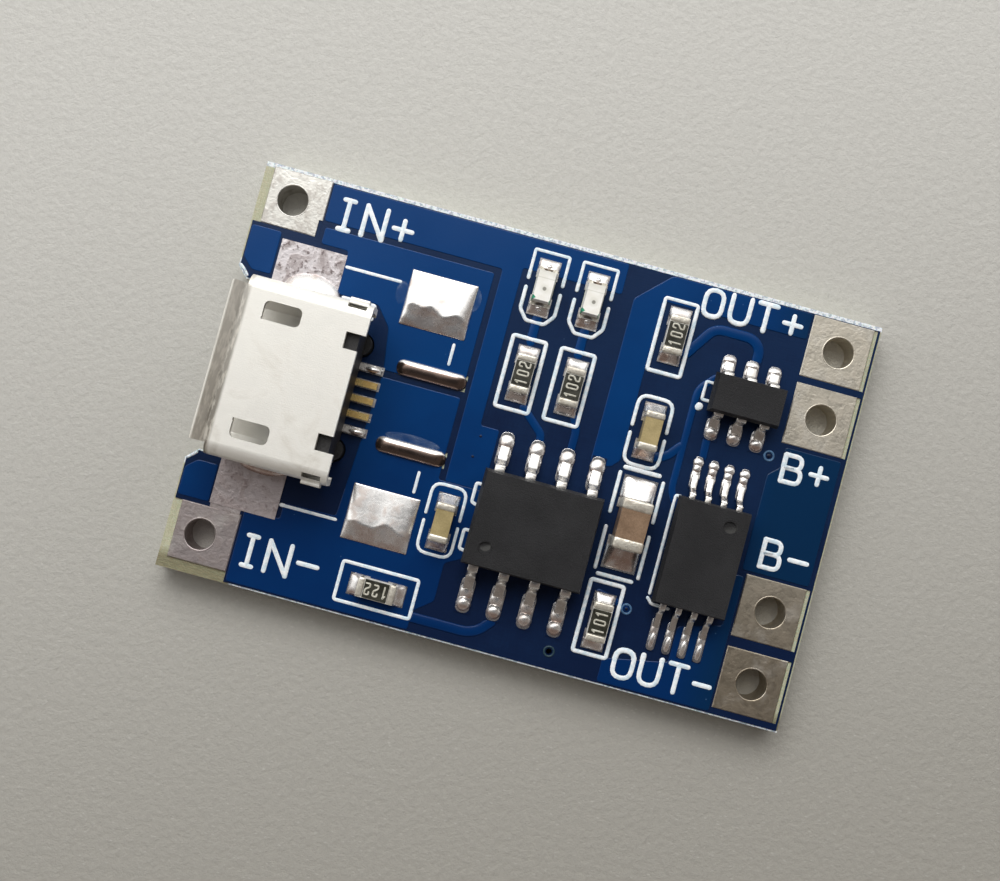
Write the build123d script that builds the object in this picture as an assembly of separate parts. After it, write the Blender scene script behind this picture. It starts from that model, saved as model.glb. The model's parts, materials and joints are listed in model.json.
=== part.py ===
from build123d import *
import math
import os

# Lithium battery charger module, in millimetres. The origin is the centre of the board, on the plane that the
# underside's terminal lands rest on. X runs from the socket to the battery terminals, Y towards the plus side.

# Layers of the board
laminate_thickness = 1.2
land_thickness = 0.08
mask_thickness = 0.04
mask_setback = 0.06
mask_top_setback = 0.17
land_edge_bevel = 0.035

# Columns along X, from the socket's edge to the battery's edge
socket_setback = 1.22
shell_depth = 4.70
socket_to_spare_gap = 0.98
spare_land_length = 2.75
spare_to_capacitor_gap = 0.70
chip_part_width = 0.80
capacitor_to_charger_gap = 0.71
charger_length = 4.90
charger_to_bulk_gap = 0.685
bulk_width = 1.25
bulk_to_switch_gap = 0.915
switch_length = 3.00
switch_to_terminal_gap = 0.57
output_land_length = 2.53
output_edge_margin = 0.29

# Rows of the socket's end along Y, from the minus edge
input_bottom_margin = 0.47
input_land_width = 2.36
input_to_side_gap = 0.17
side_land_width = 1.95
shell_width = 7.20
side_to_input_gap = 0.41
input_top_margin = 0.13

# Rows of the battery's end along Y, from the minus edge
output_bottom_margin = 0.33
output_land_width = 2.56
minus_pair_gap = 0.43
battery_gap = 5.52
plus_pair_gap = 0.28
output_top_margin = 0.20

# Terminals
input_edge_margin = 0.37
input_land_length = 2.46
terminal_hole_radius = 0.65
barrel_wall = 0.05
input_hole_shift = 0.17
output_hole_shift = 0.05
bare_margin = 0.15
input_notch_length = 0.16
input_notch_width = 0.70
bridge_length = 1.25
bridge_setback = 1.13

# Recess of the board under the socket's mouth
recess_half_width = 3.58
recess_depth = 1.34
recess_chamfer = 0.45

# Socket shell, one folded sheet
sheet = 0.25
shell_height = 2.50
shell_lift = 0.06
shell_floor_width = 5.40
shell_bevel_height = 1.05
shell_top_radius = 0.55
shell_bevel_radius = 0.30
lip_reach = 0.55
lip_rise = 0.26
lip_root_radius = 0.30
top_lip_width = 6.30
floor_lip_width = 4.60
latch_slot_length = 1.50
latch_slot_width = 0.76
latch_slot_setback = 0.81
latch_slot_pitch = 4.68
latch_slot_radius = 0.22
latch_relief_length = 0.24
latch_relief_width = 0.12
rear_notch_length = 0.58
rear_notch_width = 0.66
rear_notch_pitch = 4.05
rear_corner_reach = 0.18
seam_gap = 0.08
leg_length = 2.10
leg_setback = 0.83
leg_overlap = 0.35
lug_length = 0.75
lug_setback = 0.07
lug_reach = 0.15
lug_height = 0.55
lug_drop = 0.40
lug_slit = 0.18
lug_wall = 0.12

# Socket insulator and contacts
contact_count = 5
contact_pitch = 0.65
contact_width = 0.26
contact_thickness = 0.15
contact_tail_reach = 0.83
contact_rise = 1.05
contact_bend_cut = 0.10
contact_drop_setback = 0.50
contact_tip_setback = 0.25
contact_offset = 0.05
housing_clearance = 0.03
housing_depth = 2.10
housing_setback = 0.06
housing_floor_gap = 0.55
foot_height = 0.80
tongue_width = 3.90
tongue_thickness = 0.65
tongue_setback = 0.90
tongue_root = 0.50
peg_hole_radius = 0.50
peg_clearance = 0.06
peg_pitch = 4.40
peg_setback = 0.22
peg_rise = 0.38
peg_tip_setback = 0.15
tail_land_length = 1.30
tail_land_width = 0.36
tail_land_toe = 0.10

# Lands beside the socket
side_land_setback = 0.23
side_land_length = 2.72
side_land_tuck = 0.10

# Spare lands and solder strips
spare_land_width = 2.28
spare_land_pitch = 8.98
spare_land_offset = 0.10
spare_dome_height = 0.30
strip_length = 2.95
strip_width = 0.66
strip_pitch = 3.22
strip_offset = 0.15
strip_setback = 0.36
strip_height = 0.28
strip_corner_cut = 0.16

# Chip resistors, chip capacitors and indicator lights
chip_part_length = 1.60
resistor_height = 0.46
resistor_cap_reach = 0.30
capacitor_height = 0.78
capacitor_cap_reach = 0.30
plating = 0.04
cap_edge_bevel = 0.055
overcoat_thickness = 0.06
overcoat_draft = 20.0
chip_land_span = 2.35
chip_land_length = 0.80
chip_land_width = 0.90
bulk_length = 2.05
bulk_height = 1.15
bulk_cap_reach = 0.46
bulk_land_span = 3.87
bulk_land_length = 1.35
bulk_land_width = 1.40
light_base_height = 0.22
light_lens_height = 0.42
light_lens_length = 1.30
light_lens_margin = 0.01
light_lens_draft = 6.0
light_terminal_reach = 0.28
light_notch_radius = 0.20
light_pitch = 2.05
light_column = 0.36
resistor_column = 0.44
bulk_column_shift = 0.20

# Rows of the chip columns along Y, each from the minus edge
charger_row_margin = 1.35
charger_to_resistor_gap = 1.23
resistor_to_light_gap = 1.27
bulk_row_margin = 1.29
sense_to_bulk_gap = 0.99
bulk_to_capacitor_gap = 0.73
capacitor_to_resistor_gap = 1.68
switch_row_margin = 1.87
switch_to_protection_gap = 0.73
programming_row_margin = 0.95
programming_shift = 0.62
small_capacitor_margin = 3.50

# Charger chip: body across X, leads along Y. The lands start a gap from the body and run a toe past the leads.
charger_width = 3.90
charger_height = 1.45
charger_lead_reach = 1.05
charger_pitch = 1.27
charger_lead_width = 0.42
charger_lead_sheet = 0.20
charger_foot = 0.62
charger_land_width = 0.60
charger_land_gap = 0.325
charger_land_toe = 0.775
charger_seat_shift = 0.20
charger_lead_count = 4

# Battery switch chip
switch_width = 4.40
switch_height = 1.00
switch_lead_reach = 1.00
switch_pitch = 0.65
switch_lead_width = 0.25
switch_lead_sheet = 0.13
switch_foot = 0.60
switch_land_width = 0.36
switch_land_gap = 0.50
switch_land_toe = 0.85
switch_seat_shift = 0.12
switch_lead_count = 4

# Protection chip
protection_length = 2.92
protection_width = 1.62
protection_height = 1.10
protection_lead_reach = 0.59
protection_pitch = 0.95
protection_lead_width = 0.40
protection_lead_sheet = 0.14
protection_foot = 0.40
protection_land_width = 0.58
protection_land_gap = 0.04
protection_land_toe = 0.40
protection_seat_shift = 0.10
protection_shift = 0.14
protection_lead_count = 3

# Moulding of the chips
body_standoff = 0.08
body_draft = 9.0
lead_embed = 0.18
lead_shoulder_share = 0.62
lead_bend_share = 0.45
pin_mark_radius = 0.28
pin_mark_depth = 0.05
pin_mark_inset = 0.80

# Solder joints: heights of a chip's joint as shares of its lead's sheet, and the rest in millimetres
heel_share = 0.70
crown_share = 1.75
toe_share = 0.35
mound_edge_share = 0.55
mound_crown_share = 1.02
joint_margin = 0.055
joint_corner_cut = 0.09
joint_shoulder_share = 0.52
end_joint_margin = 0.01
end_joint_toe = 0.05
end_joint_corner_cut = 0.11
end_joint_climb_share = 0.62
end_joint_middle_share = 0.30
bulk_joint_height = 0.80
light_joint_height = 0.29
leg_joint_reach = 0.80
leg_joint_climb = 0.62
leg_joint_middle = 0.46
leg_joint_toe = 0.05
leg_joint_corner_cut = 0.34
small_leg_joint_reach = 0.30
small_leg_joint_setback = 0.20
small_leg_joint_climb = 0.35
small_leg_joint_middle = 0.14
tail_joint_width = 0.34
tail_joint_setback = 0.10
tail_joint_start = 0.12
tail_joint_middle = 0.26

# Plated via holes, placed from the charger chip, the sense resistor, the output lands and the board's edge
via_hole_radius = 0.13
via_wall = 0.04
via_ring_radius = 0.25
edge_via_column = 4.39
edge_via_margin = 0.77
sense_via_column = 0.76
sense_via_row = 0.75
battery_via_column = 0.35
battery_via_row = 1.95
socket_via_columns = (0.54, 0.64)
socket_via_rows = (3.30, 2.42)

# Flat sides of the smallest round forms: via holes and the notches in the lights' ends
fine_round_sides = 12

# How far a cut runs past the stock
over = 1.0

# Places that follow from the sizes above
board_length = (
    socket_setback + shell_depth + socket_to_spare_gap + spare_land_length + spare_to_capacitor_gap
    + chip_part_width + capacitor_to_charger_gap + charger_length + charger_to_bulk_gap + bulk_width
    + bulk_to_switch_gap + switch_length + switch_to_terminal_gap + output_land_length + output_edge_margin
)
input_rows = (
    input_bottom_margin + input_land_width + input_to_side_gap + side_land_width + shell_width
    + side_land_width + side_to_input_gap + input_land_width + input_top_margin
)
output_rows = (
    output_bottom_margin + output_land_width + minus_pair_gap + output_land_width + battery_gap
    + output_land_width + plus_pair_gap + output_land_width + output_top_margin
)
board_width = max(input_rows, output_rows)
left = -board_length / 2
right = board_length / 2
bottom = -board_width / 2
top = board_width / 2

laminate_bottom = land_thickness
laminate_top = laminate_bottom + laminate_thickness
land_top = laminate_top + land_thickness
mask_top = laminate_top + mask_thickness

shell_front = left + socket_setback
shell_rear = shell_front + shell_depth
socket_y = bottom + input_bottom_margin + input_land_width + input_to_side_gap + side_land_width + shell_width / 2
shell_base = land_top + shell_lift
spare_left = shell_rear + socket_to_spare_gap
spare_x = spare_left + spare_land_length / 2
spare_right = spare_left + spare_land_length
spare_y = socket_y + spare_land_offset
strip_x = spare_left + strip_setback + strip_length / 2
strip_y = socket_y + strip_offset
small_capacitor_x = spare_right + spare_to_capacitor_gap + chip_part_width / 2
charger_left = small_capacitor_x + chip_part_width / 2 + capacitor_to_charger_gap
charger_x = charger_left + charger_length / 2
bulk_x = charger_left + charger_length + charger_to_bulk_gap + bulk_width / 2
bulk_column_x = bulk_x - bulk_column_shift
switch_left = bulk_x + bulk_width / 2 + bulk_to_switch_gap
switch_x = switch_left + switch_length / 2
output_left = switch_left + switch_length + switch_to_terminal_gap

# Spans of the chips' leads and lands across their bodies
charger_span = charger_width + 2 * charger_lead_reach
charger_land_span = charger_span + 2 * charger_land_toe
charger_land_length = charger_lead_reach + charger_land_toe - charger_land_gap
switch_span = switch_width + 2 * switch_lead_reach
switch_land_span = switch_span + 2 * switch_land_toe
switch_land_length = switch_lead_reach + switch_land_toe - switch_land_gap
protection_span = protection_width + 2 * protection_lead_reach
protection_land_span = protection_span + 2 * protection_land_toe
protection_land_length = protection_lead_reach + protection_land_toe - protection_land_gap

charger_land_y = bottom + charger_row_margin + charger_land_span / 2
charger_y = charger_land_y + charger_seat_shift
resistor_row_y = charger_land_y + charger_land_span / 2 + charger_to_resistor_gap + chip_land_span / 2
light_row_y = resistor_row_y + chip_land_span + resistor_to_light_gap
sense_y = bottom + bulk_row_margin + chip_land_span / 2
bulk_y = sense_y + chip_land_span / 2 + sense_to_bulk_gap + bulk_land_span / 2
supply_capacitor_y = bulk_y + bulk_land_span / 2 + bulk_to_capacitor_gap + chip_land_span / 2
supply_resistor_y = supply_capacitor_y + chip_land_span + capacitor_to_resistor_gap
switch_land_y = bottom + switch_row_margin + switch_land_span / 2
switch_y = switch_land_y + switch_seat_shift
protection_x = switch_x + protection_shift
protection_land_y = switch_land_y + switch_land_span / 2 + switch_to_protection_gap + protection_land_span / 2
protection_y = protection_land_y + protection_seat_shift
programming_x = spare_x + programming_shift
programming_y = bottom + programming_row_margin + chip_part_width / 2
small_capacitor_y = bottom + small_capacitor_margin + chip_land_span / 2

# Terminals: name, centre of the land, size of the land, place of the hole along X. Rows count from the minus edge.
input_x = left + input_edge_margin + input_land_length / 2
output_x = output_left + output_land_length / 2
input_minus_y = bottom + input_bottom_margin + input_land_width / 2
input_plus_y = bottom + input_rows - input_top_margin - input_land_width / 2
output_minus_y = bottom + output_bottom_margin + output_land_width / 2
battery_minus_y = output_minus_y + output_land_width + minus_pair_gap
output_plus_y = bottom + output_rows - output_top_margin - output_land_width / 2
battery_plus_y = output_plus_y - output_land_width - plus_pair_gap
input_hole_x = input_x - input_hole_shift
output_hole_x = output_x + output_hole_shift
terminals = [
    ("input_plus_terminal", input_x, input_plus_y, input_land_length, input_land_width, input_hole_x),
    ("input_minus_terminal", input_x, input_minus_y, input_land_length, input_land_width, input_hole_x),
    ("output_plus_terminal", output_x, output_plus_y, output_land_length, output_land_width, output_hole_x),
    ("output_minus_terminal", output_x, output_minus_y, output_land_length, output_land_width, output_hole_x),
    ("battery_plus_terminal", output_x, battery_plus_y, output_land_length, output_land_width, output_hole_x),
    ("battery_minus_terminal", output_x, battery_minus_y, output_land_length, output_land_width, output_hole_x),
]

# Chip parts: name, centre and turn. At turn 90 the part's length runs along Y.
light_xs = [charger_left + light_column, charger_left + light_column + light_pitch]
resistor_xs = [charger_left + resistor_column, charger_left + resistor_column + light_pitch]
lights = [
    ("charging_light", light_xs[0], light_row_y, 90),
    ("full_light", light_xs[1], light_row_y, 90),
]
resistors = [
    ("charging_light_resistor", resistor_xs[0], resistor_row_y, 90),
    ("full_light_resistor", resistor_xs[1], resistor_row_y, 90),
    ("supply_resistor", bulk_column_x, supply_resistor_y, 90),
    ("programming_resistor", programming_x, programming_y, 0),
    ("sense_resistor", bulk_column_x, sense_y, 90),
]
capacitors = [
    ("input_capacitor", small_capacitor_x, small_capacitor_y, 90),
    ("supply_capacitor", bulk_column_x, supply_capacitor_y, 90),
]

# Vias: centre, and whether the hole is open through the mask
vias = [
    (charger_left + edge_via_column, bottom + edge_via_margin, True),
    (bulk_x + sense_via_column, sense_y + sense_via_row, False),
    (output_left - battery_via_column, battery_plus_y - battery_via_row, False),
] + [
    (charger_left - column, charger_land_y + row, False) for column, row in zip(socket_via_columns, socket_via_rows)
]


def block(x0, x1, y0, y1, z0, z1):
    return Pos((x0 + x1) / 2, (y0 + y1) / 2, (z0 + z1) / 2) * Box(x1 - x0, y1 - y0, z1 - z0)


def rod(x, y, radius, z0, z1):
    return Pos(x, y, (z0 + z1) / 2) * Cylinder(radius, z1 - z0)


# A small round form with few flat sides
def post(x, y, radius, z0, z1):
    return extrude(Pos(x, y, z0) * RegularPolygon(radius, fine_round_sides), z1 - z0)


def group(shapes):
    solids = [solid for shape in shapes for solid in shape.solids()]
    return Compound(children=solids)


def save(name, shape):
    export_step(shape, f"parts/{name}.step")


# Rectangles of the lands, each (x0, x1, y0, y1)
def end_lands(x, y, turn, span, length, width):
    reach = span / 2
    if turn == 90:
        return [
            (x - width / 2, x + width / 2, y + reach - length, y + reach),
            (x - width / 2, x + width / 2, y - reach, y - reach + length),
        ]
    return [
        (x - reach, x - reach + length, y - width / 2, y + width / 2),
        (x + reach - length, x + reach, y - width / 2, y + width / 2),
    ]


def lead_xs(x, count, pitch):
    return [x + (i - (count - 1) / 2) * pitch for i in range(count)]


def row_lands(x, y, count, pitch, span, length, width):
    return [
        rectangle
        for lead_x in lead_xs(x, count, pitch)
        for rectangle in end_lands(lead_x, y, 90, span, length, width)
    ]


def chip_lands():
    return (
        row_lands(charger_x, charger_land_y, charger_lead_count, charger_pitch,
                  charger_land_span, charger_land_length, charger_land_width)
        + row_lands(switch_x, switch_land_y, switch_lead_count, switch_pitch,
                    switch_land_span, switch_land_length, switch_land_width)
        + row_lands(protection_x, protection_land_y, protection_lead_count, protection_pitch,
                    protection_land_span, protection_land_length, protection_land_width)
    )


def chip_part_lands():
    rectangles = end_lands(bulk_x, bulk_y, 90, bulk_land_span, bulk_land_length, bulk_land_width)
    for _, x, y, turn in lights + resistors + capacitors:
        rectangles += end_lands(x, y, turn, chip_land_span, chip_land_length, chip_land_width)
    return rectangles


def contact_ys():
    return [
        socket_y + contact_offset + (i - (contact_count - 1) / 2) * contact_pitch for i in range(contact_count)
    ]


def tail_lands():
    start = shell_rear + contact_tail_reach + tail_land_toe - tail_land_length
    return [
        (start, start + tail_land_length, y - tail_land_width / 2, y + tail_land_width / 2)
        for y in contact_ys()
    ]


def side_lands():
    x0 = shell_front + side_land_setback
    x1 = x0 + side_land_length
    inner = shell_width / 2 - sheet - side_land_tuck
    outer = shell_width / 2 + side_land_width
    return [(x0, x1, socket_y + inner, socket_y + outer), (x0, x1, socket_y - outer, socket_y - inner)]


def spare_rectangles():
    half = spare_land_width / 2
    centres = [spare_y + spare_land_pitch / 2, spare_y - spare_land_pitch / 2]
    return [(spare_left, spare_right, y - half, y + half) for y in centres]


def strip_rectangles():
    half = strip_width / 2
    centres = [strip_y + strip_pitch / 2, strip_y - strip_pitch / 2]
    return [(strip_x - strip_length / 2, strip_x + strip_length / 2, y - half, y + half) for y in centres]


# Board outline with the recess under the socket's mouth
def board_outline():
    inner = recess_half_width
    outer = recess_half_width + recess_chamfer
    points = [
        (left, bottom), (right, bottom), (right, top), (left, top),
        (left, socket_y + outer), (left + recess_chamfer, socket_y + inner), (left + recess_depth, socket_y + inner),
        (left + recess_depth, socket_y - inner), (left + recess_chamfer, socket_y - inner), (left, socket_y - outer),
    ]
    return Polygon(*points, align=None)


def peg_centres():
    x = shell_rear - peg_setback
    return [(x, socket_y + peg_pitch / 2), (x, socket_y - peg_pitch / 2)]


def board_laminate():
    plate = extrude(Pos(0, 0, laminate_bottom) * board_outline(), laminate_thickness)
    z0 = laminate_bottom - over
    z1 = laminate_top + over
    holes = [rod(hole_x, y, terminal_hole_radius + barrel_wall, z0, z1) for _, _, y, _, _, hole_x in terminals]
    holes += [rod(x, y, peg_hole_radius, z0, z1) for x, y in peg_centres()]
    holes += [post(x, y, via_hole_radius + via_wall, z0, z1) for x, y, _ in vias]
    return plate - holes


# Openings of a mask around the terminals' lands. At the board's corners the opening runs out over the edge.
def terminal_openings(z0, z1):
    openings = []
    for _, x, y, length, width, hole_x in terminals:
        x0 = x - length / 2
        x1 = x + length / 2
        y0 = y - width / 2
        y1 = y + width / 2
        if x < 0:
            x0 = left - over
            y1 = top + over if y > 0 else y1
            y0 = bottom - over if y < 0 else y0
        else:
            x1 += bare_margin
        openings.append(block(x0, x1, y0, y1, z0, z1))
    return openings


# A mask leaves a bare rim around the board, wider along the plus edge on the upper side
def mask_plate(z0, plus_setback):
    outline = offset(board_outline(), -mask_setback, kind=Kind.INTERSECTION)
    plate = extrude(Pos(0, 0, z0) * outline, mask_thickness)
    return plate - block(left, right, top - plus_setback, top, z0 - over, z0 + over)


def solder_mask_top():
    z0 = laminate_top - over
    z1 = laminate_top + over
    openings = terminal_openings(z0, z1)
    rectangles = (
        chip_lands() + chip_part_lands() + tail_lands() + side_lands() + spare_rectangles() + strip_rectangles()
    )
    openings += [block(x0, x1, y0, y1, z0, z1) for x0, x1, y0, y1 in rectangles]
    openings += [bridge_block(z0, z1)]
    openings += [rod(x, y, peg_hole_radius, z0, z1) for x, y in peg_centres()]
    openings += [post(x, y, via_ring_radius, z0, z1) for x, y, is_open in vias if is_open]
    return mask_plate(laminate_top, mask_top_setback) - openings


def solder_mask_bottom():
    z0 = laminate_bottom - over
    z1 = laminate_bottom + over
    openings = [
        block(x - length / 2, x + length / 2, y - width / 2, y + width / 2, z0, z1)
        for _, x, y, length, width, _ in terminals
    ]
    openings += [rod(x, y, peg_hole_radius, z0, z1) for x, y in peg_centres()]
    openings += [post(x, y, via_ring_radius, z0, z1) for x, y, is_open in vias if is_open]
    return mask_plate(laminate_bottom - mask_thickness, mask_setback) - openings


# Plated terminals: upper land, barrel and lower land in one piece
def bridge_block(z0, z1):
    x0 = left + input_edge_margin + bridge_setback
    y0 = input_minus_y + input_land_width / 2
    return block(x0, x0 + bridge_length, y0, y0 + input_to_side_gap, z0, z1)


def land_plate(x, y, length, width, z0, z1):
    plate = block(x - length / 2, x + length / 2, y - width / 2, y + width / 2, z0, z1)
    face_z = z1 if z0 > laminate_bottom else z0
    rim = plate.edges().group_by(Axis.Z)[-1 if face_z == z1 else 0]
    return chamfer(rim, land_edge_bevel)


def terminal(name, x, y, length, width, hole_x):
    upper = land_plate(x, y, length, width, laminate_top, land_top)
    lower = land_plate(x, y, length, width, 0, laminate_bottom)
    body = upper + lower + rod(hole_x, y, terminal_hole_radius + barrel_wall, laminate_bottom, laminate_top)
    if name == "input_minus_terminal":
        body = body + bridge_block(laminate_top, land_top - land_edge_bevel)
    if name == "input_plus_terminal":
        x1 = x + length / 2
        y0 = y - width / 2
        body = body - block(
            x1 - input_notch_length, x1 + over, y0 - over, y0 + input_notch_width, laminate_top, land_top + over
        )
    body = body - rod(hole_x, y, terminal_hole_radius, -over, land_top + over)
    mouth = body.edges().filter_by(GeomType.CIRCLE).group_by(Axis.Z)[-1]
    return chamfer(mouth, land_edge_bevel)


def via_barrels():
    barrels = []
    for x, y, is_open in vias:
        barrel = post(x, y, via_hole_radius + via_wall, laminate_bottom, laminate_top)
        if is_open:
            barrel = barrel + post(x, y, via_ring_radius, laminate_top, mask_top)
            barrel = barrel + post(x, y, via_ring_radius, laminate_bottom - mask_thickness, laminate_bottom)
        barrels.append(barrel - post(x, y, via_hole_radius, -over, land_top + over))
    return group(barrels)


def lands(rectangles):
    return group([block(x0, x1, y0, y1, laminate_top, land_top) for x0, x1, y0, y1 in rectangles])


# A spare land under its dome of solder
def domed_land(x0, x1, y0, y1):
    half_x = (x1 - x0) / 2
    half_y = (y1 - y0) / 2
    corner = math.hypot(half_x, half_y)
    crown = spare_dome_height - land_thickness
    radius = (corner * corner + crown * crown) / (2 * crown)
    ball = Pos((x0 + x1) / 2, (y0 + y1) / 2, laminate_top + spare_dome_height - radius) * Sphere(radius)
    return block(x0, x1, y0, y1, laminate_top, laminate_top + spare_dome_height + over) & ball


# A long ridge of solder with cut corners and sloping shoulders
def solder_strip(x0, x1, y0, y1):
    middle = (y0 + y1) / 2
    outline = chamfer(Rectangle(x1 - x0, y1 - y0).vertices(), strip_corner_cut)
    plan = extrude(Pos((x0 + x1) / 2, middle, laminate_top) * outline, strip_height + over)
    section = joint_section(y1 - y0, land_thickness, strip_height)
    return plan & (Pos(x0, middle, laminate_top) * extrude(Plane.YZ * section, x1 - x0))


# Section of a joint: low edges and a crown between two sloping shoulders
def joint_section(width, edge_height, crown_height):
    half = width / 2
    shoulder = half * joint_shoulder_share
    return Polygon(
        (-half, 0), (half, 0), (half, edge_height), (shoulder, crown_height), (-shoulder, crown_height),
        (-half, edge_height), align=None,
    )


# A solder joint that runs along +X from its part: side profile, plan and section are cut from one another
def solder_mound(start, end, width, near, middle, far, corner_cut):
    side = Polygon((start, 0), (end, 0), (end, far), ((start + end) / 2, middle), (start, near), align=None)
    across = Pos(0, width / 2, 0) * extrude(Plane.XZ * side, width)
    crown = max(near, middle, far) * mound_crown_share
    outline = Rectangle(2 * (end - start), width)
    plan = extrude(chamfer(outline.vertices(), corner_cut), crown + over)
    section = extrude(Plane.YZ * joint_section(width, max(near, middle) * mound_edge_share, crown), end - start)
    return across & (Pos(start, 0, 0) * plan) & (Pos(start, 0, 0) * section)


# Socket shell: section of the folded sheet, looking along X
def shell_section(inset):
    floor_half = shell_floor_width / 2
    wall_half = shell_width / 2
    outline = Polygon(
        (-floor_half, 0), (floor_half, 0), (wall_half, shell_bevel_height),
        (wall_half, shell_height), (-wall_half, shell_height), (-wall_half, shell_bevel_height),
        align=None,
    )
    outline = fillet(outline.vertices().sort_by(Axis.Y)[-2:], shell_top_radius)
    outline = fillet(outline.vertices().sort_by(Axis.Y)[:4], shell_bevel_radius)
    return offset(outline, -inset) if inset else outline


def socket_tube(inset, x0, x1):
    section = Pos(x0, socket_y, shell_base) * (Plane.YZ * shell_section(inset))
    return extrude(section, x1 - x0)


# A flared lip: the sheet bends away from the mouth along an arc, then runs straight. turn is 1 up or -1 down.
def lip(width, face_z, turn):
    angle = math.atan2(2 * lip_rise, lip_reach)
    length = lip_root_radius * math.tan(angle / 2)
    path = FilletPolyline(
        (shell_front, 0, 0), (shell_front - length, 0, 0), (shell_front - lip_reach, 0, turn * lip_rise),
        radius=lip_root_radius * 0.9,
    )
    middle = Pos(0, socket_y, face_z - turn * sheet / 2) * path
    start = Plane(origin=middle @ 0, x_dir=(0, 1, 0), z_dir=(-1, 0, 0))
    return sweep(start * Rectangle(width, sheet), middle)


# A latch slot with a narrow relief cut at its front, on the side of the shell's middle
def latch_slot(side):
    x0 = shell_front + latch_slot_setback
    y = socket_y + side * latch_slot_pitch / 2
    outline = Pos(x0 + latch_slot_length / 2, y) * RectangleRounded(
        latch_slot_length, latch_slot_width, latch_slot_radius
    )
    relief_y = y - side * (latch_slot_width - latch_relief_width) / 2
    relief = Pos(x0 + latch_slot_radius / 2, relief_y) * Rectangle(latch_relief_length, latch_relief_width)
    return extrude(Pos(0, 0, shell_base + shell_height / 2) * (outline + relief), shell_height)


def socket_shell():
    rear = shell_rear + rear_corner_reach
    roof = shell_base + shell_height
    shell = socket_tube(0, shell_front, rear) - socket_tube(sheet, shell_front - over, rear + over)
    shell = shell + lip(top_lip_width, roof, 1) + lip(floor_lip_width, shell_base, -1)
    for side in (-1, 1):
        notch_y = socket_y + side * rear_notch_pitch / 2
        notch = block(
            shell_rear - rear_notch_length, rear + over,
            notch_y - rear_notch_width / 2, notch_y + rear_notch_width / 2, roof - 2 * sheet, roof + over,
        )
        shell = shell - latch_slot(side) - notch + shell_leg(side) + shell_lug(side) - shell_slit(side)
    middle = rear_notch_pitch / 2
    roof_end = block(shell_rear, rear + over, socket_y - middle, socket_y + middle, roof - 2 * sheet, roof + over)
    floor_end = block(
        housing_foot_front(), rear + over, socket_y - shell_width, socket_y + shell_width,
        0, shell_base + shell_bevel_height,
    )
    seam = block(
        shell_front - lip_reach - over, rear, socket_y - seam_gap / 2, socket_y + seam_gap / 2,
        0, shell_base + sheet * 3 / 2,
    )
    return shell - roof_end - floor_end - seam


# The floor of the shell ends here, in front of the insulator's foot
def housing_foot_front():
    return shell_rear - contact_drop_setback - housing_floor_gap


def on_side(shape, side):
    return Pos(0, socket_y, 0) * (shape if side > 0 else mirror(shape, Plane.XZ))


def shell_leg(side):
    x0 = shell_front + leg_setback
    y1 = shell_width / 2
    low = land_top
    high = shell_base + shell_bevel_height + leg_overlap
    return on_side(block(x0, x0 + leg_length, y1 - sheet, y1, low, high), side)


def shell_lug(side):
    x1 = shell_rear - lug_setback
    y1 = shell_width / 2
    z1 = shell_base + shell_height - lug_drop
    lug = block(x1 - lug_length, x1, y1 - lug_wall, y1 + lug_reach, z1 - lug_height, z1)
    corner = lug.edges().filter_by(Axis.X).sort_by(Axis.Y)[-2:]
    return on_side(fillet(corner, lug_reach / 2), side)


# The slit that frees the strip of wall behind a lug
def shell_slit(side):
    x1 = shell_rear - lug_setback
    y1 = shell_width / 2 - lug_wall
    roof = shell_base + shell_height
    return on_side(block(x1 - lug_length, x1, y1 - lug_slit, y1, roof - lug_drop - lug_height, roof + over), side)


# Contacts: under the tongue, back through the housing, down to the board and out as tails
def contact(y):
    tail_z = land_top + contact_thickness / 2
    blade_z = tail_z + contact_rise
    drop_x = shell_rear - contact_drop_setback
    points = [
        (shell_front + tongue_setback + contact_tip_setback, blade_z), (drop_x, blade_z),
        (drop_x, tail_z), (shell_rear + contact_tail_reach, tail_z),
    ]
    return Pos(0, y, 0) * bent_strip(points, contact_bend_cut, contact_width, contact_thickness)


def socket_contacts():
    return group([contact(y) for y in contact_ys()])


def socket_insulator():
    block_front = shell_rear - housing_depth
    block_rear = shell_rear - housing_setback
    body = socket_tube(sheet + housing_clearance, block_front, block_rear)
    tongue_bottom = land_top + contact_rise
    body = body + block(
        shell_front + tongue_setback, block_front + tongue_root,
        socket_y - tongue_width / 2, socket_y + tongue_width / 2,
        tongue_bottom, tongue_bottom + tongue_thickness,
    )
    foot_half = peg_pitch / 2 + peg_hole_radius
    body = body + block(
        housing_foot_front() + housing_clearance, block_rear, socket_y - foot_half, socket_y + foot_half,
        land_top + housing_clearance, shell_base + foot_height,
    )
    for x, y in peg_centres():
        radius = peg_hole_radius - peg_clearance
        body = body + rod(x, y, radius, laminate_bottom + peg_tip_setback, land_top + peg_rise)
    return body - [contact(y) for y in contact_ys()]


# Moulded chip body: two drafted halves meet at the parting line where the leads come out
def moulded_body(length, width, height):
    middle = body_standoff + height / 2
    outline = Pos(0, 0, middle) * Rectangle(length, width)
    return extrude(outline, height / 2, taper=body_draft) + extrude(outline, -height / 2, taper=body_draft)


def pin_mark(x, y, height):
    return rod(x, y, pin_mark_radius, body_standoff + height - pin_mark_depth, height + over)


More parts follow.
